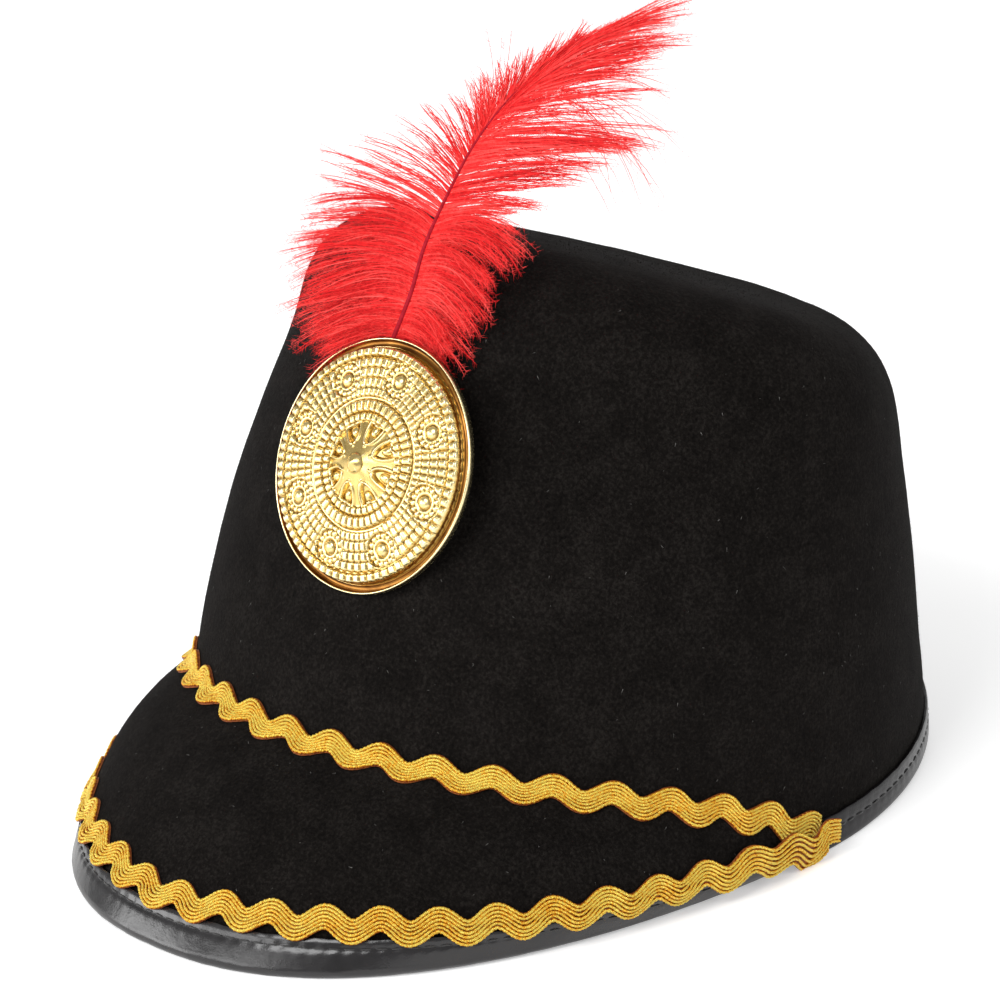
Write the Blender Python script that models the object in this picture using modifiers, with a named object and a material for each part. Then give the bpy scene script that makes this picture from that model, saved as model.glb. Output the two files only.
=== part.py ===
# Drum major hat: felt crown and visor, bound edges, gold braid, medallion and plume.
# Metres, +Z up. The hat faces -Y and the wearer's left is +X. It stands at z = 0 on the
# visor's bound rim and on the crown's bound rear edge.
# Angles round the crown run from 0 at the front towards the wearer's left.
import bpy
import bmesh
from math import acos, copysign, cos, exp, hypot, pi, radians, sin, sqrt, tan
from mathutils import Vector

# Stock and clearance
FELT = 0.002
LEATHER = 0.0008
BRAID_THICKNESS = 0.0012
GAP = 0.0003

# Crown: an oval base, a smaller tilted rim set back from it, a round shoulder and a low top
BASE_HALF_WIDTH = 0.095
BASE_HALF_DEPTH = 0.106
BASE_FULLNESS = 1.9
RIM_HALF_WIDTH = 0.0885
RIM_HALF_DEPTH = 0.070
RIM_SET_BACK = 0.021
RIM_HEIGHT = 0.1095
RIM_TILT = radians(15)
SHOULDER_RADIUS = 0.0285
TOP_DOME = 0.0015
BULGE_FRONT = 0.008
BULGE_QUARTER = 0.0037
BULGE_SIDE = 0.002
BULGE_REAR = 0.0005

# Front seam, where the visor meets the crown
SEAM_HEIGHT = 0.0405
SEAM_POWER = 2.4
SEAM_REACH = radians(95.7)
VISOR_END = radians(89)
CORNER_GAP = radians(0.2)
CORNER_STEP = radians(0.7)

# Visor
VISOR_HALF_DEPTH = 0.156
VISOR_CENTRE_BACK = 0.0092
VISOR_FULLNESS = 2.27
VISOR_BULGE = 0.006
VISOR_BULGE_REACH = 0.040
FLANGE_HEIGHT = 0.007

# Bindings; at the visor's corners they keep to these shares of its length
REAR_BINDING_HEIGHT = 0.0095
VISOR_BINDING_WIDTH = 0.0068
BINDING_UNDERSIDE = 0.007
CORNER_REACH = 0.5
CORNER_UNDERSIDE = 0.3
RIM_FLATTEN = 0.0003
BINDING_ROUND = 0.0008

# Braids
BRAID_WIDTH = 0.0060
BRAID_WAVE = 0.0017
BRAID_PERIOD = 0.0155
WAVE_STEPS = 6
BRAID_UP_VISOR = 0.0106
BRAID_OFF_TABLE = 0.0006
BRAID_TAIL = 0.0055
BRAID_ON_EDGE = 0.0008
BRAID_CLIMB = 0.0032
BRAID_SEAM_SHARE = 0.985
BRAID_CORNER_SHARE = 0.55

# Medallion
MEDAL_RADIUS = 0.0328
MEDAL_LEFT = 0.0076
MEDAL_CENTRE_HEIGHT = 0.1059
MEDAL_UPRIGHT = radians(6)
MEDAL_TURN = radians(2)
MEDAL_LIP = 0.0022
MEDAL_LIP_WALL = 0.0008
MEDAL_GROOVE = 0.0015
MEDAL_GROOVE_FLOOR = 0.0008
MEDAL_DOME = 0.0052
MEDAL_STEP = 0.0010
BOSS_COUNT = 8
BOSS_RING = 0.022
BOSS_RADIUS = 0.0034
BOSS_HEIGHT = 0.0013
CENTRE_BOSS_RADIUS = 0.0036
CENTRE_BOSS_HEIGHT = 0.0016
STAR_RADIUS = 0.0125
STAR_HEIGHT = 0.0007
STAR_SLOPE = 0.002

# Plume
PLUME_REACH = 0.118
PLUME_TURN = radians(9)
PLUME_LEAN = radians(20)
QUILL = 0.0014
QUILL_RIGHT = 0.0051
QUILL_TUCK = 0.006
LOCKS = 14
LOCK_STEPS = 3
LOCK_GAP = 0.16
LOCK_SWEEP = 0.30
LOCK_RUN = 0.35
LOCK_TAPER = 0.55
TIP_LOCK_WIDTH = 3
TIP_LOCK_RISE = (-0.01, 0.02)
CUP_FULL = 0.3
PLUME_CUP = 0.0035

# Dents in the crown's left side: ends as angle and height, both as shares (of a quarter
# turn and of the wall's height), then half width as a share of the base's half width and
# depth as a share of the felt.
# from_angle, from_height, to_angle, to_height, half_width, depth
DENTS = (
    (0.26, 0.79, 0.42, 0.83, 0.09, 0.7),
    (0.42, 0.83, 0.55, 0.86, 0.09, 1.0),
    (0.55, 0.87, 0.61, 0.96, 0.10, 1.0),
    (0.62, 0.96, 0.70, 1.04, 0.10, 0.8),
)

# The plume's shaft in its own plane, as shares of its reach
# across, up
SHAFT = (
    (0.000, 0.000),
    (0.027, 0.102),
    (0.048, 0.223),
    (0.107, 0.386),
    (0.155, 0.478),
    (0.218, 0.561),
    (0.287, 0.624),
)

# Ends of the plume's locks, as shares: place along the shaft, then across and up
# along, left_across, left_up, right_across, right_up
LOCK_ENDS = (
    (0.000, -0.165, -0.055, 0.126, -0.025),
    (0.080, -0.253, -0.030, 0.211, 0.018),
    (0.200, -0.289, 0.100, 0.286, 0.112),
    (0.320, -0.284, 0.241, 0.317, 0.223),
    (0.420, -0.262, 0.362, 0.370, 0.346),
    (0.520, -0.104, 0.448, 0.465, 0.450),
    (0.620, 0.034, 0.534, 0.550, 0.533),
    (0.750, 0.150, 0.609, 0.619, 0.616),
    (0.870, 0.298, 0.684, 0.645, 0.693),
    (1.000, 0.487, 0.767, 0.666, 0.749),
)
PLUME_TIP = (0.667, 0.814)

# Mesh fineness
FRONT_COLUMNS = 32
REAR_COLUMNS = 26
WALL_ROWS = 9
SHOULDER_ROWS = 5
VISOR_ROWS = 6
MEDAL_COLUMNS = 48

# Sizes that follow from those above
RIM_ROUND = FELT / 2 + GAP + LEATHER
OUTSIDE_BINDING = GAP + LEATHER
VISOR_HALF_WIDTH = BASE_HALF_WIDTH + OUTSIDE_BINDING
REAR_EDGE_HEIGHT = LEATHER + GAP
# The origin is the middle of the whole length, from the visor's rim to the rear binding
SHIFT_BACK = (VISOR_HALF_DEPTH - VISOR_CENTRE_BACK - BASE_HALF_DEPTH - OUTSIDE_BINDING) / 2
# A point inside the hollow, to tell the skins' inner and outer sides
HEAD = Vector((0, SHIFT_BACK, RIM_HEIGHT / 2))


def signed_power(value, power):
    return copysign(abs(value) ** power, value)


def oval(half_width, half_depth, fullness, angle):
    """A point of a superellipse, 0 at the front."""
    power = 2 / fullness
    across = half_width * signed_power(sin(angle), power)
    back = -half_depth * signed_power(cos(angle), power)
    return across, back


def bulge_at(angle):
    front = max(cos(angle), 0) ** 2
    rear = max(-cos(angle), 0) ** 2
    push = BULGE_FRONT * front + BULGE_REAR * rear + BULGE_SIDE * (1 - front - rear)
    return push + BULGE_QUARTER * 4 * front * (1 - front)


def rim_point(angle):
    across, back = oval(RIM_HALF_WIDTH, RIM_HALF_DEPTH, BASE_FULLNESS, angle)
    return Vector((across, back + RIM_SET_BACK, RIM_HEIGHT - back * tan(RIM_TILT)))


def distance_to_line(point, start, end):
    run = end - start
    share = max(0, min(1, (point - start).dot(run) / run.dot(run)))
    return (point - start - run * share).length


def dent_at(angle, share):
    """How far the wall is pressed in, from the table of dents."""
    height = RIM_HEIGHT
    turn = BASE_HALF_WIDTH * pi / 2
    place = Vector((angle / (pi / 2) * turn, share * height))
    deepest = 0
    for from_angle, from_height, to_angle, to_height, half_width, depth in DENTS:
        start = Vector((from_angle * turn, from_height * height))
        end = Vector((to_angle * turn, to_height * height))
        away = distance_to_line(place, start, end) / (half_width * BASE_HALF_WIDTH)
        deepest = max(deepest, depth * FELT * exp(-away * away))
    return deepest


def wall_point(angle, share):
    """The felt's outer surface; share runs from 0 on the table to 1 at the rim."""
    base_across, base_back = oval(BASE_HALF_WIDTH, BASE_HALF_DEPTH, BASE_FULLNESS, angle)
    rim = rim_point(angle)
    push = bulge_at(angle) * 4 * share * (1 - share) - dent_at(angle, share)
    across = base_across * (1 - share) + rim.x * share + push * sin(angle)
    back = base_back * (1 - share) + rim.y * share - push * cos(angle)
    return Vector((across, back + SHIFT_BACK, rim.z * share))


def wall_at_height(angle, height):
    return wall_point(angle, height / rim_point(angle).z)


def wall_frame(angle, height):
    """Point, outward normal and upward direction of the wall at a height."""
    step = 0.0005
    point = wall_at_height(angle, height)
    up = (wall_at_height(angle, height + step) - point).normalized()
    along = wall_at_height(angle + step, height) - wall_at_height(angle - step, height)
    normal = along.cross(up).normalized()
    return point, normal, up


def seam_height(angle):
    return SEAM_HEIGHT * (1 - abs(angle / SEAM_REACH) ** SEAM_POWER)


def new_object(name, mesh, material, collection):
    thing = bpy.data.objects.new(name, mesh)
    mesh.materials.append(material)
    collection.objects.link(thing)
    return thing


def finish_mesh(name, form):
    bmesh.ops.recalc_face_normals(form, faces=form.faces)
    mesh = bpy.data.meshes.new(name)
    form.to_mesh(mesh)
    form.free()
    mesh.shade_smooth()
    mesh.set_sharp_from_angle(angle=radians(40))
    return mesh


def rows_mesh(name, rows, around=False, cap_start=False, cap_end=False, centre_end=None):
    """Skins equal rows of points; around closes each row on itself."""
    form = bmesh.new()
    lines = [[form.verts.new(point) for point in row] for row in rows]
    count = len(lines[0])
    spans = count if around else count - 1
    for low, high in zip(lines, lines[1:]):
        for i in range(spans):
            j = (i + 1) % count
            form.faces.new((low[i], low[j], high[j], high[i]))
    if cap_start:
        form.faces.new(lines[0])
    if cap_end:
        form.faces.new(lines[-1])
    if centre_end is not None:
        centre = form.verts.new(centre_end)
        for i in range(spans):
            form.faces.new((lines[-1][i], lines[-1][(i + 1) % count], centre))
    return form


def add_wall(thing, thickness, outward=False):
    solid = thing.modifiers.new("Wall", "SOLIDIFY")
    solid.thickness = thickness
    solid.offset = 1 if outward else -1
    solid.use_even_offset = True
    solid.use_rim = True


def face_away(form, inside):
    """Turns an open skin's faces so that they look away from a point."""
    bmesh.ops.recalc_face_normals(form, faces=form.faces)
    away = 0
    for face in form.faces:
        away += face.normal.dot(face.calc_center_median() - inside) * face.calc_area()
    if away < 0:
        bmesh.ops.reverse_faces(form, faces=form.faces)


def front_angles():
    return [VISOR_END * (2 * i / FRONT_COLUMNS - 1) for i in range(FRONT_COLUMNS + 1)]


def rear_angles():
    start = VISOR_END + CORNER_STEP
    sweep = 2 * (pi - start)
    return [start + sweep * i / REAR_COLUMNS for i in range(REAR_COLUMNS + 1)]


def make_crown(material, collection):
    corner = VISOR_END + CORNER_GAP
    edges = [(angle, seam_height(angle)) for angle in [-corner, *front_angles(), corner]]
    edges += [(angle, REAR_EDGE_HEIGHT) for angle in rear_angles()]
    rows = []
    for i in range(WALL_ROWS + 1):
        row = []
        for angle, edge in edges:
            low = edge / rim_point(angle).z
            row.append(wall_point(angle, low + (1 - low) * i / WALL_ROWS))
        rows.append(row)
    for i in range(1, SHOULDER_ROWS + 1):
        turn = pi / 2 * i / SHOULDER_ROWS
        row = []
        for angle, edge in edges:
            inset = SHOULDER_RADIUS * (1 - cos(turn))
            rise = SHOULDER_RADIUS * sin(turn)
            inward = Vector((-sin(angle) * inset, cos(angle) * inset, rise))
            row.append(wall_point(angle, 1) + inward)
        rows.append(row)
    last = rows[-1]
    centre = sum(last, Vector()) / len(last) + Vector((0, 0, TOP_DOME))
    rows.append([point.lerp(centre, 0.5) + Vector((0, 0, TOP_DOME / 4)) for point in last])
    form = rows_mesh("crown", rows, around=True, centre_end=centre)
    face_away(form, HEAD)
    mesh = bpy.data.meshes.new("crown")
    form.to_mesh(mesh)
    form.free()
    mesh.shade_smooth()
    thing = new_object("crown", mesh, material, collection)
    add_wall(thing, FELT)
    return thing


# The visor's surface. Its place round the rim is given by the angle of the seam point that
# it runs out from, and its distance by how far it lies up from the felt's rim edge.

def rim_turn(angle):
    """The rim's own angle, set so that the visor's end follows the wall at the corner."""
    corner = wall_at_height(VISOR_END, REAR_EDGE_HEIGHT).y - SHIFT_BACK
    depth = VISOR_HALF_DEPTH - RIM_ROUND
    last = acos(((VISOR_CENTRE_BACK - corner) / depth) ** (VISOR_FULLNESS / 2))
    return angle / VISOR_END * last


def rim_centre(angle):
    """The middle of the felt's rim edge, and the centre of the round binding."""
    across, back = oval(VISOR_HALF_WIDTH - RIM_ROUND, VISOR_HALF_DEPTH - RIM_ROUND,
                        VISOR_FULLNESS, rim_turn(angle))
    return Vector((across, back + VISOR_CENTRE_BACK + SHIFT_BACK, RIM_ROUND - RIM_FLATTEN))


def visor_column(angle):
    """Seam end, rim end, normal and length of the visor's top surface at an angle."""
    step = 0.002
    seam, wall_out, wall_up = wall_frame(angle, seam_height(angle))
    seam = seam - wall_up * GAP
    centre = rim_centre(angle)
    along = rim_centre(angle + step) - rim_centre(angle - step)
    normal = (centre - seam).cross(along).normalized()
    if normal.dot(wall_out) < 0:
        normal = -normal
    edge = centre + normal * (FELT / 2)
    return seam, edge, normal, (edge - seam).length


def visor_top(angle, up):
    """A point of the top surface, up from the rim edge, and its normal."""
    seam, edge, normal, length = visor_column(angle)
    share = up / length
    bulge = VISOR_BULGE * min(1, length / VISOR_BULGE_REACH)
    rise = bulge * 4 * share * (1 - share)
    slope = bulge * 4 * (1 - 2 * share) / length
    inward = (seam - edge) / length
    point = edge + inward * up + normal * rise
    return point, (normal - inward * slope).normalized()


def outer_skin(angle, up):
    """The outer surface over the visor, past the seam up the crown, and behind the corner."""
    corner = copysign(min(abs(angle), VISOR_END), angle)
    length = visor_column(corner)[3]
    blend = BRAID_WIDTH / 2
    past = up - length
    if angle != corner:
        return wall_frame(angle, seam_height(corner) + past)[:2]
    if past <= -blend:
        return visor_top(angle, up)
    height = seam_height(angle) + max(past, 0)
    point, wall_out = wall_frame(angle, height)[:2]
    if past < 0:
        point, low_out = visor_top(angle, up)
    else:
        low_out = visor_top(angle, length)[1]
    share = max(0, min(1, (past + blend) / (2 * blend)))
    share = share * share * (3 - 2 * share)
    return point, low_out.lerp(wall_out, share).normalized()


def visor_angles():
    """The columns of the front, drawn in a little at both ends to clear the crown's corner."""
    angles = front_angles()
    angles[0] += CORNER_STEP
    angles[-1] -= CORNER_STEP
    return angles


def binding_reach(angle):
    """How far the visor binding comes up the felt's top; less at the corners."""
    return min(VISOR_BINDING_WIDTH, visor_column(angle)[3] * CORNER_REACH)


def binding_underside(angle):
    return min(BINDING_UNDERSIDE, visor_column(angle)[3] * CORNER_UNDERSIDE)


def make_visor(material, collection):
    """The felt visor with a flange that stands inside the crown's front."""
    sections = []
    for angle in visor_angles():
        seam, wall_out, wall_up = wall_frame(angle, seam_height(angle))
        inside = seam - wall_out * (FELT + GAP)
        hollow = inside - wall_out * FELT
        length = visor_column(angle)[3]
        reach = binding_reach(angle)
        under = binding_underside(angle)
        last = length - FELT
        shares = [i / (VISOR_ROWS - 1) for i in range(VISOR_ROWS)]
        section = [inside + wall_up * FLANGE_HEIGHT, inside - wall_up * GAP]
        for share in reversed(shares):
            section.append(visor_top(angle, reach + (length - reach) * share)[0])
        section.append(visor_top(angle, 0)[0])
        for up in [0] + [under + (last - under) * share for share in shares]:
            point, out = visor_top(angle, up)
            section.append(point - out * FELT)
        section.append(hollow - wall_up * (GAP + FELT))
        section.append(hollow + wall_up * FLANGE_HEIGHT)
        sections.append(section)
    form = rows_mesh("visor", sections, around=True, cap_start=True, cap_end=True)
    return new_object("visor", finish_mesh("visor", form), material, collection)


def make_crown_binding(material, collection):
    """A leather strip folded round the crown's rear edge, flat where it rests."""
    outer = OUTSIDE_BINDING
    inner = -FELT - OUTSIDE_BINDING
    sections = []
    for angle in rear_angles():
        across = wall_frame(angle, REAR_EDGE_HEIGHT)[1]
        across = Vector((across.x, across.y, 0)).normalized()
        # offset from the felt's outer face, height
        outline = (
            (outer, REAR_BINDING_HEIGHT),
            (outer, REAR_EDGE_HEIGHT + BINDING_ROUND),
            (outer - BINDING_ROUND, 0),
            (inner + BINDING_ROUND, 0),
            (inner, REAR_EDGE_HEIGHT + BINDING_ROUND),
            (inner, REAR_BINDING_HEIGHT),
            (inner + LEATHER, REAR_BINDING_HEIGHT),
            (inner + LEATHER, LEATHER),
            (outer - LEATHER, LEATHER),
            (outer - LEATHER, REAR_BINDING_HEIGHT),
        )
        section = [wall_at_height(angle, height) + across * offset for offset, height in outline]
        sections.append(section)
    form = rows_mesh("crown_binding", sections, around=True, cap_start=True, cap_end=True)
    return new_object("crown_binding", finish_mesh("crown_binding", form), material, collection)


def make_visor_binding(material, collection):
    """A leather strip folded round the visor's rim, flat where it rests."""
    sections = []
    for angle in visor_angles():
        seam = visor_column(angle)[0]
        centre = rim_centre(angle)
        rim_out = visor_top(angle, 0)[1]
        down = (centre - seam) - rim_out * (centre - seam).dot(rim_out)
        down.normalize()
        top = binding_reach(angle)
        under = binding_underside(angle)
        section = []
        for up in (top, top / 2):
            point, out = visor_top(angle, up)
            section.append(point + out * OUTSIDE_BINDING)
        for degrees in (90, 50, 10, -30, -62, -90):
            turn = radians(degrees)
            point = centre + (down * cos(turn) + rim_out * sin(turn)) * RIM_ROUND
            section.append(Vector((point.x, point.y, max(point.z, 0))))
        point, out = visor_top(angle, under)
        section.append(point - out * (FELT + OUTSIDE_BINDING))
        section.append(point - out * (FELT + GAP))
        hollow = FELT / 2 + GAP
        for degrees in (-90, -45, 0, 45, 90):
            turn = radians(degrees)
            section.append(centre + (down * cos(turn) + rim_out * sin(turn)) * hollow)
        for up in (top / 2, top):
            point, out = visor_top(angle, up)
            section.append(point + out * GAP)
        sections.append(section)
    form = rows_mesh("visor_binding", sections, around=True, cap_start=True, cap_end=True)
    return new_object("visor_binding", finish_mesh("visor_binding", form), material, collection)


# The braids are wavy strips laid on the outer skin. Their middle line is given by the
# distance up from the rim, and the wave is counted along that line.

def seam_line(angle):
    return visor_column(angle)[3]


def rim_line(angle):
    """Middle of the rim braid: close above the binding, and nearer the rim at the corners."""
    corner = copysign(min(abs(angle), VISOR_END), angle)
    length = visor_column(corner)[3]
    lowest = BRAID_WIDTH / 2 + BRAID_WAVE + BRAID_OFF_TABLE
    return max(lowest, min(BRAID_UP_VISOR, length * BRAID_CORNER_SHARE))


def braid_table(line, last):
    """Angles and running lengths along a braid's middle line."""
    steps = 240
    angles = [last * (2 * i / steps - 1) for i in range(steps + 1)]
    points = [outer_skin(angle, line(angle))[0] for angle in angles]
    lengths = [0]
    for start, end in zip(points, points[1:]):
        lengths.append(lengths[-1] + (end - start).length)
    return angles, lengths


def angle_at(table, length):
    angles, lengths = table
    for i in range(1, len(lengths)):
        if length <= lengths[i] or i == len(lengths) - 1:
            share = (length - lengths[i - 1]) / (lengths[i] - lengths[i - 1])
            return angles[i - 1] + (angles[i] - angles[i - 1]) * share


def make_braid(name, line, last, lift, across_steps, material, collection):
    table = braid_table(line, last)
    total = table[1][-1]
    waves = max(1, round(total / BRAID_PERIOD))
    period = total / waves
    steps = waves * WAVE_STEPS
    rows = [[] for i in range(across_steps + 1)]
    for i in range(steps + 1):
        along = total * i / steps
        phase = 2 * pi * along / period
        wave = BRAID_WAVE * cos(phase)
        slope = -BRAID_WAVE * 2 * pi / period * sin(phase)
        norm = sqrt(1 + slope * slope)
        for j in range(across_steps + 1):
            side = BRAID_WIDTH * (j / across_steps - 0.5)
            place = max(0, min(total, along - side * slope / norm))
            angle = angle_at(table, place)
            up = line(angle) + wave + side / norm
            point, out = outer_skin(angle, up)
            rows[j].append(point + out * lift(angle, up))
    form = rows_mesh(name, rows)
    face_away(form, HEAD)
    mesh = bpy.data.meshes.new(name)
    form.to_mesh(mesh)
    form.free()
    thing = new_object(name, mesh, material, collection)
    add_wall(thing, BRAID_THICKNESS, outward=True)
    return thing


def ramp(value, start, end):
    share = max(0, min(1, (value - start) / (end - start)))
    return share * share * (3 - 2 * share)


def seam_braid_lift(angle, up):
    """The braid lies on the felt and climbs over the visor binding's top edge."""
    over = 1 - ramp(up - binding_reach(angle), BRAID_ON_EDGE, BRAID_CLIMB)
    return GAP + over * (LEATHER + GAP)


def rim_braid_lift(angle, up):
    """As the seam braid, and over its end at the corners."""
    corner = copysign(min(abs(angle), VISOR_END), angle)
    length = visor_column(corner)[3]
    room = BRAID_UP_VISOR + BRAID_WIDTH + 2 * BRAID_WAVE
    over = 1 - ramp(length, room, room * 1.5)
    lift = seam_braid_lift(corner, up)
    highest = LEATHER + BRAID_THICKNESS + 4 * GAP
    return lift + (highest - lift) * over


# Medallion

def medal_seat():
    """Centre of the medallion's back, and its right, up and outward directions."""
    angle = MEDAL_LEFT / BASE_HALF_WIDTH
    for i in range(4):
        angle += (MEDAL_LEFT - wall_at_height(angle, MEDAL_CENTRE_HEIGHT).x) / BASE_HALF_WIDTH
    reach = MEDAL_RADIUS * 0.6
    high = wall_at_height(angle, MEDAL_CENTRE_HEIGHT + reach)
    low = wall_at_height(angle, MEDAL_CENTRE_HEIGHT - reach)
    up = (high - low).normalized()
    step = 0.05
    along = wall_at_height(angle + step, MEDAL_CENTRE_HEIGHT)
    along -= wall_at_height(angle - step, MEDAL_CENTRE_HEIGHT)
    side = along.normalized()
    up = (up - side * up.dot(side)).normalized()
    out = side.cross(up)
    side, out = (side * cos(MEDAL_TURN) + out * sin(MEDAL_TURN),
                 out * cos(MEDAL_TURN) - side * sin(MEDAL_TURN))
    up, out = (up * cos(MEDAL_UPRIGHT) + out * sin(MEDAL_UPRIGHT),
               out * cos(MEDAL_UPRIGHT) - up * sin(MEDAL_UPRIGHT))
    centre = wall_at_height(angle, MEDAL_CENTRE_HEIGHT)
    proud = 0
    for i in range(-12, 13):
        for j in range(-12, 13):
            point = wall_at_height(angle + 0.04 * i, MEDAL_CENTRE_HEIGHT + 0.0025 * j)
            away = point - centre
            if hypot(away.dot(side), away.dot(up)) < MEDAL_RADIUS:
                proud = max(proud, away.dot(out))
    return centre + out * (proud + GAP), side, up, out


def medal_height(radius, turn):
    """Height of the embossed face over the medallion's back."""
    face = MEDAL_RADIUS - MEDAL_LIP_WALL - MEDAL_GROOVE
    share = radius / face
    height = MEDAL_LIP + MEDAL_STEP + (MEDAL_DOME - MEDAL_STEP) * (1 - share * share)
    sector = 2 * pi / BOSS_COUNT
    off = (turn / sector - round(turn / sector)) * sector
    away = hypot(radius * sin(off), radius * cos(off) - BOSS_RING)
    height += BOSS_HEIGHT * max(0, 1 - (away / BOSS_RADIUS) ** 2) ** 0.5
    height += CENTRE_BOSS_HEIGHT * max(0, 1 - (radius / CENTRE_BOSS_RADIUS) ** 2) ** 0.5
    point = abs(cos(off * BOSS_COUNT / 2))
    star = CENTRE_BOSS_RADIUS + (STAR_RADIUS - CENTRE_BOSS_RADIUS) * point
    height += STAR_HEIGHT * max(0, min(1, (star - radius) / STAR_SLOPE))
    return height


def make_medallion(material, collection):
    centre, side, up, out = medal_seat()
    face = MEDAL_RADIUS - MEDAL_LIP_WALL - MEDAL_GROOVE
    # radius, height over the back
    plain = (
        (MEDAL_RADIUS - MEDAL_LIP_WALL, 0),
        (MEDAL_RADIUS, MEDAL_GROOVE_FLOOR),
        (MEDAL_RADIUS, MEDAL_LIP),
        (MEDAL_RADIUS - MEDAL_LIP_WALL, MEDAL_LIP),
        (MEDAL_RADIUS - MEDAL_LIP_WALL, MEDAL_GROOVE_FLOOR),
        (face, MEDAL_GROOVE_FLOOR),
    )
    rings = [(radius, [height] * MEDAL_COLUMNS) for radius, height in plain]
    turns = [2 * pi * i / MEDAL_COLUMNS for i in range(MEDAL_COLUMNS)]
    # rings drawn in from the face's edge, so that each form has its own edge and top
    radii = [face * 0.99]
    radii += [BOSS_RING + BOSS_RADIUS * share for share in (1.05, 0.65, 0, -0.65, -1.05)]
    radii += [STAR_RADIUS * share for share in (1.1, 0.8, 0.5)]
    radii += [CENTRE_BOSS_RADIUS * share for share in (1.02, 0.6)]
    for radius in radii:
        rings.append((radius, [medal_height(radius, turn) for turn in turns]))
    rows = []
    for radius, heights in rings:
        row = []
        for turn, height in zip(turns, heights):
            # the first boss stands on the upward line
            flat = side * (radius * sin(turn)) + up * (radius * cos(turn))
            row.append(centre + flat + out * height)
        rows.append(row)
    top = centre + out * medal_height(0, 0)
    form = rows_mesh("medallion", rows, around=True, cap_start=True, centre_end=top)
    return new_object("medallion", finish_mesh("medallion", form), material, collection)


# Plume

def read_curve(points, share):
    """A smooth curve through the points of a table, by share of its points."""
    place = share * (len(points) - 1)
    i = min(int(place), len(points) - 2)
    t = place - i
    before = Vector(points[max(i - 1, 0)])
    start = Vector(points[i])
    end = Vector(points[i + 1])
    after = Vector(points[min(i + 2, len(points) - 1)])
    leave = (end - before) / 2
    arrive = (after - start) / 2
    return (start * (2 * t ** 3 - 3 * t ** 2 + 1) + leave * (t ** 3 - 2 * t ** 2 + t)
            + end * (3 * t ** 2 - 2 * t ** 3) + arrive * (t ** 3 - t ** 2))


def shaft_point(share):
    """A point of the shaft by share of its running length."""
    steps = 60
    points = [read_curve(SHAFT, i / steps) for i in range(steps + 1)]
    lengths = [0]
    for start, end in zip(points, points[1:]):
        lengths.append(lengths[-1] + (end - start).length)
    want = share * lengths[-1]
    for i in range(1, steps + 1):
        if want <= lengths[i] or i == steps:
            part = (want - lengths[i - 1]) / (lengths[i] - lengths[i - 1])
            return points[i - 1].lerp(points[i], part)


def shaft_direction(share):
    low = max(0, share - 0.02)
    high = min(1, share + 0.02)
    return (shaft_point(high) - shaft_point(low)).normalized()


def lock_end(share, side):
    """Where the lock at a place along the shaft ends; side is -1 left or 1 right."""
    column = 1 if side < 0 else 3
    for low, high in zip(LOCK_ENDS, LOCK_ENDS[1:]):
        if share <= high[0]:
            part = (share - low[0]) / (high[0] - low[0])
            start = Vector(low[column:column + 2])
            end = Vector(high[column:column + 2])
            return start.lerp(end, part)


def plume_frame():
    """Where the quill leaves the medallion, and the plume's across, up and facing lines."""
    centre, side, up, out = medal_seat()
    root = centre + up * MEDAL_RADIUS - out * (3 * GAP + QUILL / 2) - side * QUILL_RIGHT
    across = Vector((cos(PLUME_TURN), sin(PLUME_TURN), 0))
    slope = Vector((0, sin(PLUME_LEAN), cos(PLUME_LEAN)))
    rise = (slope - across * slope.dot(across)).normalized()
    facing = across.cross(rise)
    return root, across, rise, facing, up


def plume_place(frame, flat):
    """Puts a point of the plume's own plane, in shares, into the hat's space."""
    root, across, rise, facing = frame[:4]
    from_shaft = flat.x - read_curve(SHAFT, 0.5).x
    forward = PLUME_CUP * min(1, (from_shaft / CUP_FULL) ** 2)
    spot = root + across * (flat.x * PLUME_REACH) + rise * (flat.y * PLUME_REACH)
    return spot + facing * forward


def make_plume(material, collection):
    """The plume's outer form: a flat shaft with pointed locks along both sides."""
    frame = plume_frame()
    root, across = frame[:2]
    up = frame[4]
    form = bmesh.new()
    half = QUILL / PLUME_REACH / 2
    stations = [0]
    for i in range(LOCKS):
        stations += [(i + LOCK_GAP / 2) / LOCKS, (i + 1 - LOCK_GAP / 2) / LOCKS]
    stations.append(1)
    sides = {-1: [], 1: []}
    for share in stations:
        along = shaft_direction(share)
        normal = Vector((along.y, -along.x))
        for side in sides:
            flat = shaft_point(share) + normal * (half * side)
            sides[side].append(form.verts.new(plume_place(frame, flat)))
    tail = []
    for side in (-1, 1):
        foot = root - up * QUILL_TUCK + across * (QUILL / 2 * side)
        tail.append(form.verts.new(foot))
    form.faces.new((tail[0], tail[1], sides[1][0], sides[-1][0]))
    for i in range(len(stations) - 1):
        form.faces.new((sides[-1][i], sides[1][i], sides[1][i + 1], sides[-1][i + 1]))
    for side in sides:
        for i in range(LOCKS):
            share = (i + 0.5) / LOCKS
            add_lock(form, frame, sides[side], 2 * i + 1, share, side)
    end = form.verts.new(plume_place(frame, Vector(PLUME_TIP)))
    middle = shaft_point(1).lerp(Vector(PLUME_TIP), 0.5) + Vector(TIP_LOCK_RISE)
    pair = []
    for side in (-1, 1):
        flat = middle + Vector((half * side, -half * side)) * TIP_LOCK_WIDTH
        pair.append(form.verts.new(plume_place(frame, flat)))
    form.faces.new((sides[-1][-1], sides[1][-1], pair[1], pair[0]))
    form.faces.new((pair[0], pair[1], end))
    bmesh.ops.recalc_face_normals(form, faces=form.faces)
    mesh = bpy.data.meshes.new("plume")
    form.to_mesh(mesh)
    form.free()
    thing = new_object("plume", mesh, material, collection)
    add_wall(thing, QUILL)
    thing.modifiers["Wall"].offset = 0
    thing.modifiers["Wall"].use_even_offset = False
    return thing


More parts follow.
